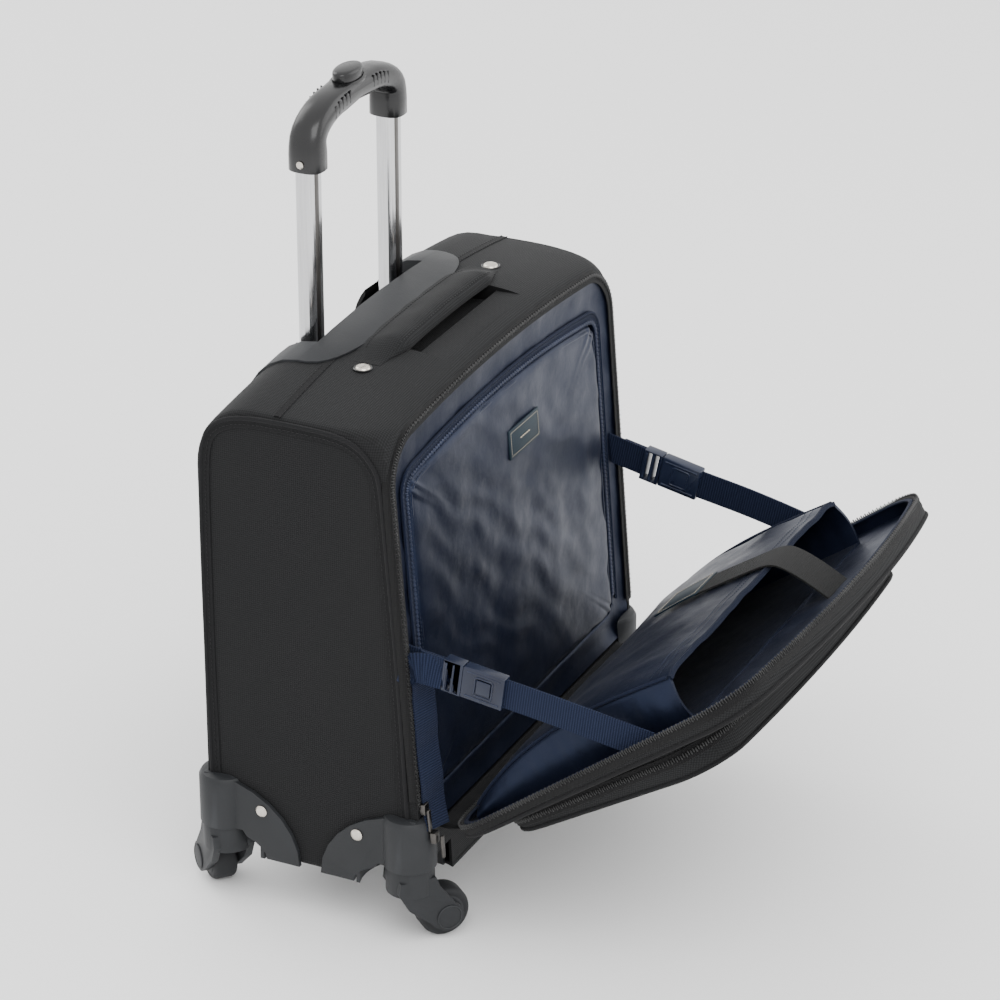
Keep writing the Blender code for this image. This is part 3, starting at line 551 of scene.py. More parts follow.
def rim_y(z, behind=0.0):
    return HINGE.y + (z - HINGE.z) * math.tan(LEAN) + behind / math.cos(LEAN)


def ease(s):
    return 1 - math.sqrt(max(0.0, 1 - s * s))


def case_top(x, y=0.0):
    """Height of the crowned top, in front of its back corner."""
    s = min(1.0, max(0.0, (ROUND_START - y) / (ROUND_START - rim_y(TOP))))
    return TOP - RIM_DROP * ease(s) + (CROWN - RIM_CROWN_LOSS * ease(s)) * (1 - (x / HALF) ** 2)


def case_rings(inset, rim_behind, steps=(0, 8, 16, 25, 34, 45, 56, 67, 78, 90)):
    """Outlines of the case from its back to its rim, a distance inside its outer face."""
    rings = []
    for degrees in steps:
        c, s = math.cos(math.radians(degrees)), math.sin(math.radians(degrees))
        low = BASE + BACK_BASE_ROUND * (1 - s) + inset * s
        high = TOP - BACK_TOP_ROUND * (1 - s) - inset * s
        edge = max(EDGE_ROUND - inset, 0.002)
        outline = arch(HALF - inset, low, high, BACK_CROWN + (CROWN - BACK_CROWN) * s * s, edge, edge)
        ring = []
        for x, z in outline:
            share = min(1.0, max(0.0, (z - BASE) / (TOP - BASE)))
            bend = BACK_BASE_ROUND + (BACK_TOP_ROUND - BACK_BASE_ROUND) * share
            ring.append((x, BACK - bend * (1 - c) - inset * c, z))
        rings.append(ring)
    for y in (0.0300, 0.0226, 0.0150, -0.0010):
        share = (y - ROUND_START) / (BACK - BACK_TOP_ROUND - ROUND_START)
        if 0 < share < 1:
            rings.append([(x, ROUND_START + (BACK - BACK_BASE_ROUND - ROUND_START
                           + (BACK_BASE_ROUND - BACK_TOP_ROUND)
                           * min(1.0, max(0.0, (z - BASE) / (TOP - BASE)))) * share, z)
                          for x, z in arch(HALF - inset, BASE + inset, TOP - inset, CROWN,
                                           max(EDGE_ROUND - inset, 0.002), max(EDGE_ROUND - inset, 0.002))])
    for s in (0.0, 0.12, 0.24, 0.35, 0.48, 0.6, 0.7, 0.8, 0.87, 0.92, 0.97, 1.0):
        f = ease(s)
        corner = max(EDGE_ROUND + (RIM_ROUND - EDGE_ROUND) * f - inset, 0.002)
        outline = arch(HALF - inset, BASE + inset, TOP - RIM_DROP * f - inset, CROWN - RIM_CROWN_LOSS * f,
                       max(EDGE_ROUND - inset, 0.002), corner)
        rings.append([(x, ROUND_START + (rim_y(z, rim_behind) - ROUND_START) * s, z) for x, z in outline])
    return rings


def slumped(rings):
    """Sets the cloth off a little from its board: soft bulges, held at the corners and the rim."""
    out = []
    for ring in rings:
        row = []
        for x, y, z in ring:
            side = max(0.0, abs(x) / HALF - 0.97) / 0.03
            calm = min(1.0, max(0.0, (y - rim_y(z)) / 0.03)) * min(1.0, max(0.0, (BACK - y) / 0.03))
            calm *= min(1.0, max(0.0, (TOP - 0.02 - z) / 0.05)) * min(1.0, max(0.0, (z - 0.13) / 0.05))
            push = side * calm * (0.0006 + 0.0011 * waves((x, y, z), 0.085, 3.1))
            row.append((x + math.copysign(push, x), y, z))
        out.append(row)
    return out


# The hand recess in the top, as (depth, height): deep under the handle's front edge, shallow before it
RECESS_LINE = [
    (-0.0080, 0.4350), (-0.0270, 0.4370), (-0.0320, 0.4460), (-0.0450, 0.4466), (-0.0580, 0.4468),
    (-0.0580, 0.4800), (-0.0080, 0.4800),
]
RECESS_TUB = [
    (-0.0040, 0.4310), (-0.0290, 0.4330), (-0.0360, 0.4420), (-0.0640, 0.4405), (-0.0640, 0.4435),
    (-0.0450, 0.4470), (-0.0300, 0.4478), (-0.0040, 0.4480),
]


def wedge(name, half, line):
    return loft(name, [[(x, y, z) for y, z in line] for x in (-half, half)], SHELL)


def shell_visual():
    outer = slumped(case_rings(0.0, 0.0012))
    shell = loft("shell_cloth", case_rings(WALL, 0.0012) + outer[::-1], SHELL, smooth=35)
    steps = [("UNION", loft("sill", [[(x, rim_y(z, b), z) for x, z in (
        (-0.1985, BASE + 0.0015), (0.1985, BASE + 0.0015), (0.1985, HINGE.z + 0.004),
        (-0.1985, HINGE.z + 0.004))]
        for b in (0.0015, 0.0045)], SHELL))]
    steps.append(("UNION", wedge("tub", 0.074, RECESS_TUB)))
    steps.append(("DIFFERENCE", wedge("recess", 0.070, RECESS_LINE)))
    scoop = box("scoop", (-0.0918, 0.0427, 0.3979), (0.0918, 0.0803, 0.48), DARK_PLASTIC_AND_SHADE)
    steps.append(("DIFFERENCE", scoop))
    out = [(0.0445, 0.3979), (0.0745, 0.3979), (0.1120, 0.3566), (0.1120, 0.48), (0.0445, 0.48)]
    steps.append(("DIFFERENCE",
                  loft("scoop_out", [[(x, y, z) for y, z in out] for x in (-0.0578, 0.0578)], DARK_PLASTIC_AND_SHADE)))
    for x in (-0.190, 0.190):
        for y in (-0.082, 0.082):
            ring = arc(x, y, 0.0433, 0, 360, 40)[:-1]
            steps.append(("DIFFERENCE",
                          loft("notch", [[(a, b, z) for a, b in ring] for z in (0.03, 0.0721)], DARK_PLASTIC_AND_SHADE)))
    cut(shell, steps)
    for material in (SHADED_SIDE_WEAVE, DARK_PLASTIC_AND_SHADE):
        shell.data.materials.append(material)
    middle = Vector((0, SHIFT - 0.02, 0.25))
    for polygon in shell.data.polygons:
        # Faces turned towards the case's middle get the near-black material: painted shade inside the recess,
        # scoop and notches, not a plastic part.
        if polygon.normal.dot(polygon.center - middle) < 0:
            polygon.material_index = 2
        else:
            # Sideways faces get the darker copy of the shell weave: painted shade on the side panels, not a
            # different fabric.
            polygon.material_index = 1 if abs(polygon.normal.x) > 0.6 else 0
    return done(shell, "case", "case_shell")


# The piping round each side panel, through (depth, height)
PIPING_LINE = [
    (-0.0857, 0.112), (-0.0788, 0.240), (-0.0691, 0.358), (-0.0655, 0.402), (-0.0593, 0.413),
    (-0.0493, 0.424),
    (-0.0326, 0.431), (0.0015, 0.4325), (0.053, 0.431), (0.075, 0.4225), (0.086, 0.409), (0.090, 0.378),
    (0.090, 0.231), (0.088, 0.112),
]


def smooth_path(points, rounds=3):
    """Corner cutting: an open path through points with its ends kept."""
    points = [Vector(p) for p in points]
    for _ in range(rounds):
        out = [points[0]]
        for a, b in zip(points, points[1:]):
            out += [a.lerp(b, 0.25), a.lerp(b, 0.75)]
        points = out + [points[-1]]
    return points


def pipings():
    for side, name in ((-1, "left"), (1, "right")):
        path = [p + Vector((0, SHIFT, 0)) for p in
                smooth_path([(side * (HALF + 0.0004), min(y, BACK - 0.0022), z) for y, z in PIPING_LINE])]
        cord = sweep(f"piping_{name}", path, rod(0.0019, 10), PIPING, (side, 0, 0), pitch=0.005)
        done(cord, "case")
        inner = [p + Vector((side * 0.0003, 0, 0)) for p in inset_path(path, 0.0045)]
        band = sweep(f"piping_seam_{name}", inner, tape_section(0.0035, 0.003, -0.0003, 0.0005),
                     PLAIN, (side, 0, 0), pitch=0.006)
        done(band, "case")
        row = beads(f"piping_stitches_{name}", inner, 0.0038, stitch(), BLACK_THREAD, (side, 0, 0))
        for v in row.data.vertices:
            v.co.x += side * 0.0007
        done(row, "case")


def inset_path(path, by):
    """The path moved towards its own middle, in the plane across X."""
    middle = sum(path, Vector()) / len(path)
    out = []
    for i, p in enumerate(path):
        before, after = path[max(i - 1, 0)], path[min(i + 1, len(path) - 1)]
        along = (after - before).normalized()
        across = Vector((0, along.z, -along.y))
        if across.dot(middle - p) < 0:
            across = -across
        out.append(p + across * by)
    return out


def top_seam():
    """The lapped, double-stitched seam across the top."""
    line = [(0.1970 - 0.3940 * i / 40, SEAM_Y) for i in range(41)]
    lap = [(x, y + SHIFT, case_top(x, y) + 0.0002) for x, y in line]
    seam = sweep("top_seam", lap,
                 [(-0.0032, -0.0004), (-0.0030, 0.0003), (0.0028, 0.0005), (0.0034, -0.0004)],
                 PLAIN, (0, 0, 1), pitch=0.008)
    done(seam, "case")
    for k, off in (("a", -0.0026), ("b", 0.0026)):
        row = [(x, y + SHIFT + off, case_top(x, y) + 0.0005) for x, y in line]
        done(beads(f"top_stitches_{k}", row, 0.0040, stitch(0.0028, 0.0004), BLACK_THREAD, (0, 0, 1)),
             "case")


def rim_path(inset, behind, low):
    """Points up one side of the rim, over its top and down the other, in the rim frame, without the foot."""
    outline = arch(HALF - inset, low, RIM_TOP - inset, CROWN - RIM_CROWN_LOSS, 0.002,
                   max(RIM_ROUND - inset, 0.004),
                   12, 30, 24)
    return [Vector((x, behind, u)) for x, u in outline if u > low + 0.0021]


def rim_bits():
    """Binding, coil zip and its tape round the case's mouth."""
    path = rim_path(0.0026, 0.0006, 0.020)
    up = (0, -1, 0)
    tape = sweep("rim_zip_tape", path, [(-0.0048, 0.0), (-0.0046, 0.0007), (0.0040, 0.0007), (0.0042, 0.0)],
                 BLACK_TAPE, up, RIM, pitch=0.006)
    done(tape, "case", "case_zipper")
    coil = rim_path(0.0012, 0.0003, 0.024)
    done(beads("rim_zip_coil", coil, 0.0021, tooth(0.0038, 0.0014, 0.0018), BLACK_COIL, up, RIM), "case")
    edge = rim_path(-0.0003, 0.0035, 0.028)
    bind = sweep("rim_binding", edge, [(-0.0006, -0.0035), (0.0016, -0.003), (0.0018, 0.001),
                                       (0.0008, 0.0030), (-0.0006, 0.0032)],
                 BLACK_TAPE, up, RIM, pitch=0.006)
    done(bind, "case")


# ---------------------------------------------------------------- facing and panel


def lining_outline(side, steps=10, top=34, flank=26, foot=24):
    drop = 0.010 * min(1.0, max(0.0, (side - 0.0040) / 0.0160))
    high = RIM_TOP - drop
    return arch(HALF - side, 0.004 + side, high - side, CROWN - RIM_CROWN_LOSS, 0.008,
                max(RIM_ROUND - side, 0.012),
                steps, top, flank, foot)


def facing():
    """The gathered navy facing between the case's mouth and the zipped panel, and the bag's wall behind it."""
    profile = [
        (0.0042, 0.0016), (0.0080, 0.0030), (0.0120, 0.0042), (0.0165, 0.0048), (0.0215, 0.0046),
        (0.0262, 0.0040),
        (0.0290, 0.0046), (0.0290, 0.0070), (0.0210, 0.0078), (0.0210, 0.0370), (0.0035, 0.0370),
        (0.0035, 0.0060),
    ]
    rings = []
    for k, (side, depth) in enumerate(profile):
        ring = []
        for j, (x, u) in enumerate(lining_outline(side)):
            loose = (0.0, 0.7, 1.0, 1.0, 0.8, 0.35, 0.1)[k] if k < 7 else 0.0
            fold = 0.0017 * waves((x, u, 0.3 * side), 0.024, 1.7) + 0.0011 * waves((x, u, side), 0.0095,
                                                                                   5.0)
            ring.append((x, depth + loose * fold, u))
        rings.append(ring)
    return done(loft("facing", rings, FACING, RIM, hoop=True, smooth=80), "case", "front_lining")


def panel_line(side, depth):
    """The panel's zip runs up both sides and over the top, ending a little above the foot."""
    points = [(x, depth, u) for x, u in lining_outline(side)]
    return [Vector(p) for p in points if p[2] > 0.004 + side + 0.012]


def panel_zip():
    up = (0, -1, 0)
    tape = sweep("panel_zip_tape", panel_line(0.0258, 0.0040),
                 tape_section(0.0042, 0.0039, 0.0002, 0.0009), TAPE, up, RIM, pitch=0.006)
    done(tape, "case")
    coil = beads("panel_zip_coil", panel_line(0.0284, 0.0031), 0.0019, tooth(0.0036, 0.0013, 0.0014),
                 NAVY_COIL, up, RIM)
    done(coil, "case")
    cord = sweep("panel_piping", panel_line(0.0214, 0.0032), rod(0.0014, 9), TAPE, up, RIM, pitch=0.005)
    done(cord, "case")
    line = panel_line(0.0352, 0.0030)
    welt = sweep("panel_welt", line, rod(0.0013, 9), LINING, up, RIM, pitch=0.005)
    done(welt, "panel")
    for name, side, depth in (("outer", 0.0236, 0.0027), ("inner", 0.0335, 0.0024)):
        row = beads(f"panel_stitches_{name}", panel_line(side, depth), 0.0036, stitch(0.0024, 0.00032),
                    THREAD, up, RIM)
        done(row, "case" if name == "outer" else "panel")


LABEL = Vector((0.024, -0.0013, 0.260))


def panel_pad():
    """The quilted face of the panel: gathered at its seam, with slack folds over its middle."""
    edge = lining_outline(0.0307)
    middle = Vector((0, 0.1685))
    length, perimeter = 0.0, [0.0]
    for a, b in zip(edge, edge[1:]):
        length += math.dist(a, b)
        perimeter.append(length)
    rings, sunk = [], [(0.0, 0.0337), (0.0, 0.0062), (0.006, 0.0042), (0.014, 0.0026), (0.024, 0.0017)]
    sunk += [(0.024 + 0.946 * (i / 46) ** 0.9, 0.0011) for i in range(1, 47)]
    for share, depth in sunk:
        ring = []
        for (x, u), along in zip(edge, perimeter):
            p = middle.lerp(Vector((x, u)), 1 - share)
            near = math.exp(-share / 0.07)
            gather = math.sin(along * 2 * math.pi / 0.0088 + 3 * waves((along, 0, 0), 0.03)) * near * 0.0010
            slack = 0.0014 * waves((p.x, 0.5 * p.y, 0.0), 0.040, 2.2) + 0.0005 * waves((p.x, p.y, 0.0),
                                                                                       0.018, 7.1)
            diagonal = 0.0004 * math.sin((p.x * 0.8 + p.y) * 2 * math.pi / 0.034 + 6
                                         * waves((p.x, p.y, 0), 0.06, 4.0))
            loose = min(1.0, share / 0.03) if depth < 0.02 else 0.0
            ring.append((p.x, depth + (gather + (slack + diagonal) * loose if depth < 0.02 else 0.0), p.y))
        rings.append(ring)
    pad = done(loft("panel_cushion", rings, LINING, RIM, smooth=80), "panel", "panel_pad")
    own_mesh(pad)
    tag = [(LABEL.x + 0.027 * a, LABEL.z + 0.0125 * b) for a, b in ((-1, -1), (1, -1), (1, 1), (-1, 1))]
    label = loft("panel_label", [[(x, y, z) for x, z in tag] for y in (-0.0012, 0.0006)], PATCH, RIM)
    soften(label, 0.0006, 2)
    done(label, "panel")
    row = [LABEL + Vector((0.0245 * a, 0, 0.0100 * b)) for a, b in ((-1, -1), (1, -1), (1, 1), (-1, 1))]
    row = beads("label_stitches", row, 0.0022, stitch(0.0015, 0.0002), MARK, (0, -1, 0), RIM, True)
    done(row, "panel")
    bars = beads("label_mark", [LABEL + Vector((0.0140 * i / 6 - 0.0070, 0, 0)) for i in range(7)], 0.0036,
                 stitch(0.0022, 0.0006), MARK, (0, -1, 0), RIM)
    done(bars, "panel")


# ---------------------------------------------------------------- cover


START, END, COVER_CROWN = 0.020, 0.3199, 0.0293
DEEP_FOOT, DEEP_FREE, FLOOR = 0.010, 0.018, 0.0025


def cover_outline(inset):
    return arch(HALF - inset, START + inset, END - inset, COVER_CROWN, max(0.048 - inset, 0.003),
                max(0.036 - inset, 0.003), 10, 36, 22, 22)


def cover_back(v):
    return -DEEP_FOOT - (DEEP_FREE - DEEP_FOOT) * (v - START) / (END + COVER_CROWN - START)


def cover_ring(inset, level, rise=0.0):
    return [(x, -v, (level(v) if callable(level) else level) + rise) for x, v in cover_outline(inset)]


def outward(middle, wide, long, inside):
    """The direction out over a rounded rectangle's edge; inside is the one given within it."""
    def at(p):
        x, y = p[0], p[1] + middle
        d = Vector((math.copysign(max(0.0, abs(x) - wide), x), math.copysign(max(0.0, abs(y) - long), y),
                    0))
        return d.normalized() if d.length else Vector((0, 0, inside))
    return at


def towards(ring, share, level, middle=0.180):
    """A ring drawn in towards a point on the cover's middle line, set on a level function of (x, v)."""
    out = []
    for x, y, _ in ring:
        px, pv = x * (1 - share), -y * (1 - share) + middle * share
        out.append((px, -pv, level(px, pv)))
    return out


def cover_shell():
    """The cover: black outside, navy taffeta inside, both a little slack over the board."""
    def inside(x, v):
        calm = min(1.0, (HALF - abs(x)) / 0.02)
        return cover_back(v) + FLOOR + 0.0004 + max(0.0, 0.0012 + 0.0022 * waves((x, v, 0), 0.030, 2.0)
                                                   + 0.0012 * waves((x, v, 0), 0.012, 6.0)) * calm

    def outside(x, v):
        return cover_back(v) - 0.0004 - 0.0006 * waves((x, v, 0), 0.07, 4.0)

    inner_foot = cover_ring(0.0036, cover_back, FLOOR + 0.001)
    inner = [towards(inner_foot, s, inside)
             for s in (0.97, 0.85, 0.7, 0.56, 0.43, 0.32, 0.23, 0.155, 0.09, 0.045, 0.015)]
    wall_in = [cover_ring(0.0034, lambda v, s=s: cover_back(v) * (1 - s) - 0.0012 * s, 0.0028 * (1 - s))
               for s in (0.12, 0.5, 0.85)]
    rim = [cover_ring(0.0030, -0.0012), cover_ring(0.0022, -0.0004), cover_ring(0.0008, -0.0004),
           cover_ring(0.0, -0.0012)]
    wall_out = [cover_ring(0.0, lambda v, s=s: -0.0012 * (1 - s) + (cover_back(v) + 0.004) * s)
                for s in (0.25, 0.5, 0.8, 1.0)]
    edge = [cover_ring(0.0012, cover_back, 0.0012), cover_ring(0.004, cover_back)]
    outer_foot = cover_ring(0.004, cover_back)
    outer = [towards(outer_foot, s, outside) for s in (0.03, 0.09, 0.18, 0.3, 0.45, 0.6, 0.78, 0.95)]
    shell = loft("cover_shell", inner + wall_in + rim + wall_out + edge + outer, SHELL, COVER, smooth=50)
    shell.data.materials.append(LINING)
    lining_rings = len(inner) + len(wall_in)
    n = len(inner[0])
    for polygon in shell.data.polygons:
        low = min(polygon.vertices) // n
        polygon.material_index = 1 if low < lining_rings else 0
    done(shell, "cover", "cover_tray")


def cover_trims():
    out_from = outward(0.175, 0.150, 0.100, 1)
    rim = [Vector((x, -v, -0.0010)) for x, v in cover_outline(0.0)]
    coil = beads("cover_zip_coil", rim, 0.0021, tooth(0.0040, 0.0014, 0.0018), BLACK_COIL, out_from, COVER,
                 True)
    done(coil, "cover", "cover_zipper")
    tape = sweep("cover_zip_tape", [Vector((x, -v, -0.0052)) for x, v in cover_outline(-0.0001)],
                 tape_section(0.0034, 0.0030, 0.0, 0.0006), BLACK_TAPE, out_from, COVER, True, 0.006)
    done(tape, "cover")
    back = [Vector((x, -v, cover_back(v) + 0.0010)) for x, v in cover_outline(0.0004)]
    cord = sweep("cover_piping", back, rod(0.0017, 9), PIPING, out_from, COVER, True, 0.006)
    done(cord, "cover")
    row = beads("cover_stitches_tape", [Vector((x, -v, -0.0083)) for x, v in cover_outline(-0.0002)], 0.004,
                stitch(0.0026, 0.00035), BLACK_THREAD, out_from, COVER, True, skip=lambda p: p.y > -0.05)
    done(row, "cover")
    lip = [Vector((x, -v, -0.0012)) for x, v in cover_outline(0.0052)]
    bind = sweep("cover_lining_binding", lip,
                 tape_section(0.0020, 0.0016, -0.0004, 0.0007), TAPE, (0, 0, 1), COVER, True, 0.006)
    done(bind, "cover")


def pocket_shell():
    """The outer pocket: a shallow box under the cover, bowed by its filling, with its own zip."""
    def outline(inset):
        return arch(0.190 - inset, 0.070 + inset, 0.272 - inset, 0.014, max(0.030 - inset, 0.004),
                    max(0.040 - inset, 0.004), 10, 34, 16, 34)

    def face(v):
        return -0.025 - 0.021 * (v - 0.070) / 0.192

    def ring(inset, level, rise):
        return [(x, -v, level(v) + rise) for x, v in outline(inset)]

    def wall(share, inset):
        return [Vector((x, -v, (cover_back(v) - 0.0004) * (1 - share) + (face(v) + 0.0045) * share))
                for x, v in outline(inset)]

    def bowed(x, v):
        across = max(0.0, 1 - (x / 0.19) ** 2) * max(0.0, 1 - ((v - 0.166) / 0.10) ** 2)
        return face(v) - 0.0012 * across - 0.0010 * waves((x, v, 0), 0.06, 8.0) * across

    rings = [ring(0.010, cover_back, -0.0004), ring(0.0, cover_back, -0.0004)]
    rings += [wall(s, -0.0006 * math.sin(math.pi * s)) for s in (0.2, 0.4, 0.6, 0.8, 1.0)]
    rings += [ring(0.0016, face, 0.0014), ring(0.0055, face, 0.0)]
    foot = rings[-1]
    rings += [towards(foot, s, bowed, 0.166) for s in (0.04, 0.1, 0.2, 0.33, 0.48, 0.65, 0.85)]
    body = loft("pocket_shell", rings, SHELL, COVER, smooth=50)
    done(body, "cover", "front_pocket")

    out_from = outward(0.166, 0.145, 0.050, -1)
    done(sweep("pocket_zip_tape", wall(0.42, -0.0006), tape_section(0.0055, 0.0050, 0, 0.0007),
               BLACK_TAPE, out_from, COVER, True, 0.006), "cover")
    done(beads("pocket_zip_coil", wall(0.42, -0.0010), 0.0021, tooth(0.0040, 0.0014, 0.0015), BLACK_COIL,
               out_from,
               COVER, True), "cover")
    edge = [Vector((x, -v, face(v) + 0.0012)) for x, v in outline(0.0006)]
    done(sweep("pocket_piping", edge, rod(0.0017, 9), PIPING, out_from, COVER, True, 0.006), "cover")


SLEEVE_FOOT, SLEEVE_MOUTH, SLEEVE_LONG = 0.040, 0.262, 0.222


def sleeve_top(v):
    """Height of the sleeve's filled top over the rim plane."""
    share = (v - SLEEVE_FOOT) / SLEEVE_LONG
    return 0.004 + 0.026 * share + 0.017 * math.sin(math.pi * share ** 0.8)


def flatten(obj):
    """Gives a piece that lies on the cover's lining a mesh of its own."""
    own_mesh(obj)


def sleeve():
    """The padded laptop sleeve on the cover's lining, open at the far end."""
    half, wall, begin, end = 0.166, 0.0025, SLEEVE_FOOT, SLEEVE_MOUTH

    def outline(v, inset):
        top = sleeve_top(v)
        bottom = cover_back(v) + FLOOR + 0.0006

        def flank(s, side):
            bow = 0.0045 * math.sin(math.pi * s) + 0.0012 * math.sin(v * 2
                                                                     * math.pi / 0.016) * math.sin(math.pi
                                                                                                   * s)
            return side * (half - inset + bow), (top - inset - 0.003) * (1 - s) + (bottom + inset) * s

        points = []
        for i in range(41):
            x = (half - inset) * (1 - 2 * i / 40)
            edge = 1 - abs(x) / half
            crown = 0.0040 * min(1.0, edge / 0.10) ** 0.6 - 0.0030
            slack = 0.0022 * waves((x, v, 0), 0.050, 9.0) + 0.0010 * waves((x, v, 0), 0.018, 3.0)
            points.append((x, top - inset + crown + slack * min(1.0, edge / 0.06)))
        points += [flank(i / 12, -1) for i in range(1, 12)]
        points += [((half - inset) * (2 * i / 12 - 1), bottom + inset) for i in range(13)]
        points += [flank(1 - i / 12, 1) for i in range(1, 12)]
        return [(x, -v, w) for x, w in points]

    steps = 34
    inner = [outline(begin + wall + (end - begin - wall) * i / steps, wall) for i in range(steps + 1)]
    outer = [outline(end - (end - begin) * i / steps, 0.0) for i in range(steps + 1)]
    body = loft("sleeve", inner + outer, LINING, COVER, smooth=60)
    done(body, "cover", "laptop_sleeve")
    flatten(body)
    mouth = [Vector(p) for p in outline(end - 0.0004, 0.0012)][:41]
    hem = sweep("sleeve_hem", mouth,
                [(-0.0016, -0.0019), (0.0004, -0.0022), (0.0019, -0.0012), (0.0019, 0.0012),
                                      (0.0004, 0.0022), (-0.0016, 0.0019)], TAPE, (0, 0, 1), COVER,
                                      pitch=0.006)
    flatten(done(hem, "cover"))
    for k, back in enumerate((0.012, 0.020)):
        line = [Vector((p[0], p[1], p[2] + 0.0004)) for p in outline(end - back, 0.0)[1:40]]
        row = beads(f"sleeve_stitches_{k}", line, 0.0036, stitch(0.0024, 0.00035), THREAD, (0, 0, 1), COVER)
        flatten(done(row, "cover"))
    for side in (-1, 1):
        line = []
        for i in range(30):
            v = begin + 0.004 + (end - begin - 0.006) * i / 29
            line.append(Vector((side * (half - 0.0005), -v, sleeve_top(v) - 0.0016)))
        name = "left" if side < 0 else "right"
        cord = sweep(f"sleeve_piping_{name}", line, rod(0.0015, 9), TAPE, (side, 0, 0.3), COVER,
                     pitch=0.006)
        flatten(done(cord, "cover"))


def tab():
    """The elastic strip over the sleeve's mouth, with a sewn patch."""
    line = smooth_path([(0.045, 0, 0), (0.045, 0.012, 0.026), (0.045, 0.024, 0.0460),
                        (0.045, 0.034, 0.0540),
                        (0.045, 0.060, 0.0558), (0.045, 0.108, 0.0584)], 3)
    place = COVER @ Matrix.Translation((0, -0.300, -0.0200))
    half = 0.019
    section = [(-half, -0.0007), (-half, 0.0007), (-half * 0.5, 0.0009), (0, 0.0010), (half * 0.5, 0.0009),
               (half, 0.0007),
               (half, -0.0007), (0, -0.0006)]
    strip = sweep("tab_elastic", line, section, ELASTIC, (0, -0.5, 1), place, pitch=0.003)
    done(strip, "tab", "sleeve_tab")
    flatten(strip)
    patch = [Vector((0.045, 0.104, 0.0592)), Vector((0.045, 0.127, 0.0592)), Vector((0.045, 0.150, 0.0580))]
    sewn = sweep("tab_patch", patch, tape_section(0.0215, 0.0215, -0.0006, 0.0006), PATCH,
                 (0, 0, 1), place, pitch=0.01)
    soften(sewn, 0.0005, 2)
    flatten(done(sewn, "tab"))
    ring = [Vector((0.045 + 0.0190 * a, 0.127 + 0.0205 * b, 0.0596 - 0.0006 * b)) for a,
            b in ((-1, -1), (1, -1), (1, 1), (-1, 1))]
    flatten(done(beads("tab_stitches", ring, 0.0026, stitch(0.0017, 0.00025), MARK, (0, 0, 1), place, True),
                 "tab"))


def hinge_fabric():
    """The fabric that joins the cover's foot to the case's sill."""
    def point(s, t):
        x = (HALF - 0.030) * (2 * s - 1)
        top = RIM @ Vector((x, 0.0010, 0.006))
        low = COVER @ Vector((x, -0.0240, -0.0060))
        middle = (top + low) / 2 + Vector((0, 0.0015, -0.0050))
        p = top * (1 - t) ** 2 + middle * 2 * t * (1 - t) + low * t * t
        return p + Vector((0, 0, 0.0007 * math.sin(s * 60) * math.sin(math.pi * t)))
    strip = sheet_grid("hinge_fabric", point, 60, 12, PLAIN, Matrix.Identity(4), 0.0012)
    cloth_uv(strip)
    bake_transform(strip)


# ---------------------------------------------------------------- straps and buckles


def strap_frame(side, height, drop):
    at = Vector((side * 0.1885, rim_y(height) + 0.016, height))
    return SHIFTED @ Matrix.Translation(at) @ Matrix.Rotation(math.radians(drop), 4, "X")


def hard(name, width, segments=2):
    """A copy of a hard CAD node with its edges rounded, standing in its place."""
    node = frame["nodes"][name]
    data = node.data.copy()
    data.transform(node.matrix_world)
    obj = bpy.data.objects.new(f"soft_{name}", data)
    bpy.context.scene.collection.objects.link(obj)
    bm = bmesh.new()
    bm.from_mesh(data)
    bmesh.ops.remove_doubles(bm, verts=bm.verts, dist=2e-6)
    bmesh.ops.dissolve_limit(bm, angle_limit=math.radians(1.5), verts=bm.verts, edges=bm.edges)
    bm.to_mesh(data)
    bm.free()
    soften(obj, width, segments, 32)
    cloth_uv(obj)
    return obj


def body_for(name):
    return frame["nodes"][name].parent.name.removeprefix("body:")


def webbing_strip(name, path, place, half=0.0125, thick=0.0016):
    """Webbing standing on edge: its width is across the path in its own plane."""
    section = [(-thick / 2, -half), (thick / 2, -half), (thick * 0.62, -half * 0.5),
               (thick * 0.62, half * 0.5),
               (thick / 2, half), (-thick / 2, half), (-thick * 0.62, half * 0.5),
               (-thick * 0.62, -half * 0.5)]
    strip = sweep(name, path, section, STRAP, (0, 0, 1), place, pitch=0.0025)
    data = strip.data
    turned = place.inverted()
    values = []
    for loop in data.loops:
        co = turned @ data.vertices[loop.vertex_index].co
        values += [co.y, co.z, 0.0]
    return store_cloth(strip, values)


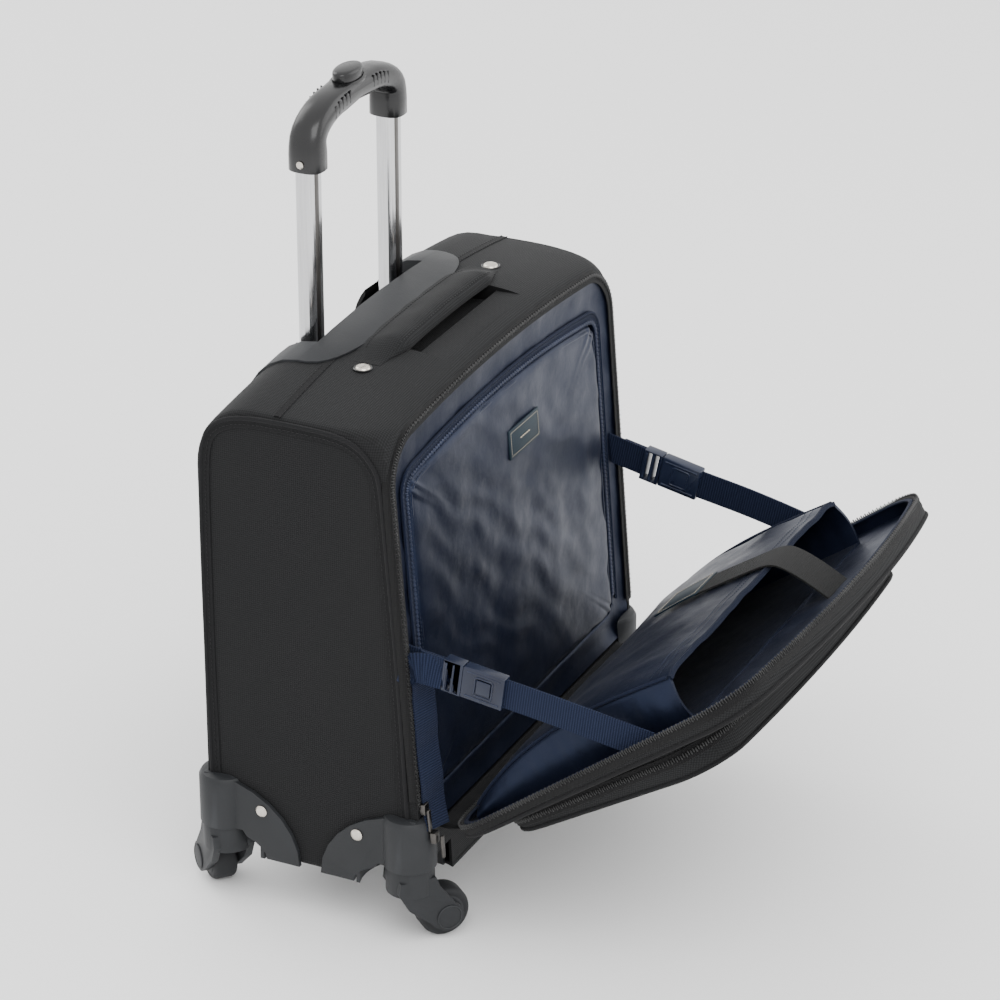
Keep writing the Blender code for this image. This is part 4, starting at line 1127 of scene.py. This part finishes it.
def buckle(name, side, height, drop, length):
    place = strap_frame(side, height, drop)
    case_body = body_for(f"buckle_body_{name}")
    for part, width in (("buckle_tongue", 0.0016), ("buckle_body", 0.0020), ("buckle_button", 0.0008)):
        obj = hard(f"{part}_{name}", width, 3)
        done(obj, body_for(f"{part}_{name}"), f"{part}_{name}")
    for level, where in ((-1, "in"), (1, "out")):
        x = level * 0.0049
        for k, y in enumerate((-0.0465, -0.0528)):
            ridge = [Vector((x, y, -0.0118)), Vector((x, y, 0.0118))]
            rib = sweep(f"tongue_bar_{name}_{k}_{where}", ridge, rod(0.0010, 10), BUCKLE, (1, 0, 0), place,
                        pitch=0.004)
            done(rib, case_body)
        frame_line = [Vector((x, -0.0715, -0.0080)), Vector((x, -0.0865, -0.0080)),
                      Vector((x, -0.0865, 0.0080)),
                      Vector((x, -0.0715, 0.0080))]
        lip = sweep(f"button_frame_{name}_{where}", frame_line, rod(0.0009, 8), BUCKLE, (1, 0, 0), place,
                    closed=True, pitch=0.003)
        done(lip, case_body)
        for k, z in enumerate((-0.0105, 0.0105)):
            groove = [Vector((x, -0.0640, z)), Vector((x, -0.0930, z))]
            rib = sweep(f"buckle_rib_{name}_{k}_{where}", groove, rod(0.0008, 8), BUCKLE, (1, 0, 0), place,
                        pitch=0.004)
            done(rib, case_body)
    near = webbing_strip(f"case_webbing_{name}", [Vector((0, 0.002, 0)), Vector((0.0004 * side, -0.015, 0)),
                                                  Vector((0, -0.0455, 0))],
                         place)
    done(near, body_for(f"case_strap_{name}"), f"case_strap_{name}")
    loop = sweep(f"strap_loop_{name}",
                 [Vector((0.0021 * side, -0.0445, 0)), Vector((0.0021 * side, -0.0230, 0))],
                 [(-0.0008, -0.0125), (0.0008, -0.0125), (0.0008, 0.0125), (-0.0008, 0.0125)], STRAP,
                 (0, 0, 1), place, pitch=0.003)
    done(loop, case_body)
    bulge = 0.0015 * side
    far_path = smooth_path([(0, -0.0945, 0), (bulge, -0.5 * (0.0945 + length), 0.0012),
                            (0, -length - 0.019, -0.001)], 3)
    far = webbing_strip(f"cover_webbing_{name}", far_path, place)
    done(far, body_for(f"cover_strap_{name}"), f"cover_strap_{name}")
    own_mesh(far)
    for k, y in enumerate((-0.006, -0.010)):
        row = [Vector((side * 0.0014, y, -0.0105)), Vector((side * 0.0014, y, 0.0105))]
        done(beads(f"strap_tack_{name}_{k}", row, 0.0026, stitch(0.0019, 0.0003), THREAD, (side, 0, 0),
                   place), case_body)


def loose_tail():
    """The left strap's spare end: it leaves the buckle, curls back to the rim and hangs beside it."""
    place = strap_frame(-1, 0.2500, 7.5)
    start = place @ Vector((-0.0030, -0.0440, 0))
    points = [start, place @ Vector((-0.0058, -0.0270, 0.0005)),
              place @ Vector((-0.0076, -0.0120, -0.0050)),
              RIM @ Vector((-0.1870, -0.0090, 0.1500)), RIM @ Vector((-0.1845, -0.0040, 0.1300)),
              RIM @ Vector((-0.1870, -0.0065, 0.1050)), RIM @ Vector((-0.1840, -0.0030, 0.0820)),
              RIM @ Vector((-0.1865, -0.0070, 0.0580)), RIM @ Vector((-0.1835, -0.0040, 0.0360)),
              RIM @ Vector((-0.1870, -0.0090, 0.0150))]
    path = smooth_path(points, 4)

    def facing_out(p):
        share = min(1.0, max(0.0, (0.268 - p[2]) / 0.040))
        return (-1 + 0.75 * share, -1.0 * share, 0.1)

    strip = sweep("strap_tail", path, tape_section(0.0125, 0.0125, -0.0008, 0.0008),
                  STRAP, facing_out, pitch=0.0030)
    values = []
    for loop in strip.data.loops:
        k, j = divmod(loop.vertex_index, 4)
        values += [0.0030 * k, 0.025 * (j in (2, 3)), 0.0]
    store_cloth(strip, values)
    done(strip, "case")
    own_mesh(strip)


def zip_pulls():
    for name in ("upper", "lower"):
        for part in ("zip_slider", "zip_pull"):
            done(hard(f"{part}_{name}", 0.0005, 2), body_for(f"{part}_{name}"), f"{part}_{name}")


# ---------------------------------------------------------------- carry handle


def carry_handle():
    """The padded handle: a hump in the top's own cloth, with a rolled front edge over the recess."""
    section = [
        (0.0200, -0.0010), (0.0165, 0.0005), (0.0120, 0.0018), (0.0070, 0.0034), (0.0015, 0.0054),
        (-0.0040, 0.0074),
        (-0.0095, 0.0091), (-0.0140, 0.0099), (-0.0185, 0.0098), (-0.0222, 0.0085), (-0.0249, 0.0060),
        (-0.0260, 0.0028),
        (-0.0252, -0.0006), (-0.0225, -0.0030), (-0.0180, -0.0040), (-0.0100, -0.0040), (0.0, -0.0030),
        (0.0100, -0.0025),
    ]
    rings = []
    for i in range(61):
        x = 0.104 * (i / 30 - 1)
        raised = min(1.0, max(0.0, (0.104 - abs(x)) / 0.036))
        raised = raised * raised * (3 - 2 * raised)
        ring = []
        for dy, dz in section:
            y = -0.003 + (dy + 0.003) * (0.62 + 0.38 * raised)
            puff = 0.0006 * waves((x, dy, dz), 0.022, 3.0) * raised
            rise = (dz + puff) * (0.04 + 0.96 * raised) if dz > 0 else dz
            ring.append((x, y, case_top(x, y) + rise))
        rings.append(ring)
    body = loft("carry_pad", rings, SHELL, smooth=60)
    done(body, "case", "carry_handle")
    for k, index in (("front", 9), ("rear", 3)):
        line = [Vector(r[index]) + Vector((0, 0, 0.0003)) for r in rings[6:-6]]
        done(beads(f"carry_stitches_{k}", line, 0.0038, stitch(0.0026, 0.00034), BLACK_THREAD, (0, -0.3, 1),
                   SHIFTED),
             "case")
    for side, name in ((-1, "left"), (1, "right")):
        x = side * 0.112
        level = case_top(x, -0.0065) - 0.0004
        for label, material, outline, nodes in (
            ("ring", BLACK, ((0.0078, 0.0), (0.0078, 0.0012), (0.0072, 0.0016), (0.0060, 0.0012)), ()),
            ("rivet", NICKEL, ((0.0062, 0.0004), (0.0060, 0.0016), (0.0050, 0.0025), (0.0030, 0.0031),
                               (0.0012, 0.0033)),
             (f"carry_rivet_{name}",)),
        ):
            disc = [[(x + r * math.cos(t), -0.0065 + r * math.sin(t), level + z)
                     for t in turns(32)] for r, z in outline]
            made = loft(f"carry_{label}_{name}_look", disc, material)
            done(made, "case", *nodes)


# ---------------------------------------------------------------- telescopic handle


POLE_X, POLE_Y = 0.0674, 0.0617


def handle_parts():
    for name, width in (("handle_base", 0.0009), ("tube_bracket", 0.0010)):
        done(hard(name, width, 3), "case", name)
    for side, name in ((-1, "left"), (1, "right")):
        for tube, (wide, deep), low, high in (("middle", (0.025, 0.017), 0.0650, 0.4035),
                                              ("inner", (0.022, 0.014), 0.2400, 0.6000)):
            owner = body_for(f"{tube}_tube_{name}")
            for face in (-1, 1):
                y = POLE_Y + face * (deep / 2 + 0.00002)
                strip = [[(side * POLE_X + a, y + face * b, z) for a, b in
                          ((-0.0030, -0.0004), (-0.0030, 0.0001), (-0.0022, 0.0003), (0.0022, 0.0003),
                           (0.0030, 0.0001), (0.0030, -0.0004))]
                         for z in (low + 0.001, high - (0.016 if tube == "inner" else 0.001))]
                done(loft(f"{tube}_flute_{name}_{'front' if face < 0 else 'rear'}", strip, GUN), owner)
        collar = []
        for z, grow in ((0.4015, 0.0030), (0.4052, 0.0030), (0.4060, 0.0024), (0.4060, 0.0006),
                        (0.4015, 0.0006)):
            collar.append([(side * POLE_X + math.copysign(abs(math.cos(t)) ** 0.4, math.cos(t))
                            * (0.014 + grow),
                            POLE_Y + math.copysign(abs(math.sin(t)) ** 0.4, math.sin(t)) * (0.010 + grow),
                            z)
                           for t in turns(36, 0.5)])
        done(loft(f"tube_collar_{name}", collar, DARK_PLASTIC_AND_SHADE, cap=False, hoop=True), "case")


def grip_parts():
    done(hard("grip", 0.0008, 2), body_for("grip"), "grip")
    done(hard("grip_button", 0.0010, 3), body_for("grip_button"), "grip_button")
    owner = body_for("grip")
    base = 0.6335
    ring = [[(r * 0.0215 * math.cos(t), POLE_Y + r * 0.0122 * math.sin(t), base + z) for t in turns(40)]
            for r, z in ((1.0, 0.0), (1.0, 0.0016), (0.93, 0.0020), (0.90, 0.0010), (0.90, 0.0))]
    done(loft("button_surround", ring, BLACK, cap=False, hoop=True), owner)
    for side in (-1, 1):
        for k in range(5):
            for face in (-1, 1):
                x0, x1 = side * (0.020 + 0.006 * k), side * (0.0222 + 0.006 * k)
                z = 0.6285 - 0.0003 * k * k
                line = [Vector((x0, POLE_Y + face * 0.0123, z - 0.005)),
                        Vector((x0, POLE_Y + face * 0.0127, z + 0.005))]
                rib = sweep(f"grip_rib_{'l' if side < 0 else 'r'}{k}{'f' if face < 0 else 'b'}", line,
                            rod(0.0009, 8), BLACK, (1, 0, 0), SHIFTED, pitch=0.003)
                done(rib, owner)


# ---------------------------------------------------------------- casters


def caster_parts(name, x, y):
    done(hard(f"caster_housing_{name}", 0.0010, 3), "case", f"caster_housing_{name}")
    fork_body = body_for(f"caster_fork_{name}")
    done(hard(f"caster_fork_{name}", 0.0012, 3), fork_body, f"caster_fork_{name}")
    wheel = f"caster_wheel_{name}"
    spin_body = body_for(wheel)
    done(hard(wheel, 0.0006, 2), spin_body, wheel)
    heading = (0.0 if y > 0 else math.pi) + x * y * math.radians(43 if y > 0 else 50)
    place = SHIFTED @ Matrix.Translation((x * 0.190, y * 0.082, 0)) @ Matrix.Rotation(heading, 4, "Z")
    place = place @ Matrix.Translation((0, 0.026, 0.021))
    for face in (-1, 1):
        rings = [[(face * z, r * math.cos(t), r * math.sin(t)) for t in turns(36)]
                 for r, z in ((0.0150, 0.0095), (0.0150, 0.0103), (0.0138, 0.0108), (0.0120, 0.0104),
                              (0.0060, 0.0102), (0.0045, 0.0100))]
        label = "out" if face > 0 else "in"
        done(loft(f"hub_{name}_{label}", rings, GRAY, place), spin_body)
        cap = [[(face * z, r * math.cos(t), r * math.sin(t)) for t in turns(28)]
               for r, z in ((0.0105, 0.0168), (0.0105, 0.0180), (0.0098, 0.0184), (0.0094, 0.0179),
                            (0.0088, 0.0180), (0.0060, 0.0184))]
        done(loft(f"cap_{name}_{label}", cap, GRAY, place), fork_body)


# ---------------------------------------------------------------- light and camera


def studio():
    floor = bpy.data.meshes.new("floor")
    floor.from_pydata([(-9, -9, 0), (9, -9, 0), (9, 9, 0), (-9, 9, 0)], [], [(0, 1, 2, 3)])
    ground = bpy.data.objects.new("floor", floor)
    bpy.context.scene.collection.objects.link(ground)
    t = Tree("studio_floor")
    cloud = t.noise(object_axes(t), 0.8, 2.0)
    floor.materials.append(t.set(Base_Color=t.blend(cloud, (0.93, 0.93, 0.93), (0.90, 0.90, 0.90)),
                                 Roughness=0.55))
    world = bpy.data.worlds.new("studio")
    bpy.context.scene.world = world
    world.use_nodes = True
    world.node_tree.nodes["Background"].inputs["Color"].default_value = (1, 1, 1, 1)
    world.node_tree.nodes["Background"].inputs["Strength"].default_value = 1.75
    for name, at, size, power in (("key", (-1.6, -1.2, 2.6), 2.2, 62), ("fill", (1.9, -2.3, 1.7), 2.6, 34),
                                  ("back", (0.6, 2.6, 2.2), 1.8, 30)):
        lamp = bpy.data.lights.new(name, "AREA")
        lamp.energy, lamp.size = power, size
        obj = bpy.data.objects.new(name, lamp)
        obj.location = at
        obj.rotation_euler = (Vector((0, 0.1, 0.3)) - Vector(at)).to_track_quat("-Z", "Y").to_euler()
        bpy.context.scene.collection.objects.link(obj)


def camera():
    turn, lift, roll = math.radians(-64.1176), math.radians(25.968), math.radians(-0.1215)
    back = Vector((math.sin(turn) * math.cos(lift), -math.cos(turn) * math.cos(lift), math.sin(lift)))
    right = (-back).cross(Vector((0, 0, 1))).normalized()
    up = right.cross(-back)
    right, up = math.cos(roll) * right + math.sin(roll) * up, -math.sin(roll) * right + math.cos(roll) * up
    at = Vector((0, -0.1 + SHIFT, 0.3)) - 0.028 * right + 0.0043 * up + 3.3922 * back
    data = bpy.data.cameras.new("camera")
    data.lens, data.sensor_width = 153.465, 36
    data.dof.use_dof = False
    obj = bpy.data.objects.new("camera", data)
    obj.matrix_world = Matrix.Translation(at) @ Matrix((right, up, back)).transposed().to_4x4()
    bpy.context.scene.collection.objects.link(obj)
    bpy.context.scene.camera = obj


shell_visual()
pipings()
top_seam()
rim_bits()
facing()
panel_zip()
panel_pad()
cover_shell()
cover_trims()
pocket_shell()
sleeve()
tab()
hinge_fabric()
buckle("left", -1, 0.2500, 7.5, 0.200)
buckle("right", 1, 0.2690, 11.7, 0.208)
loose_tail()
zip_pulls()
carry_handle()
handle_parts()
grip_parts()
for end, y in (("front", -1), ("rear", 1)):
    for side, x in (("left", -1), ("right", 1)):
        caster_parts(f"{end}_{side}", x, y)
studio()
camera()
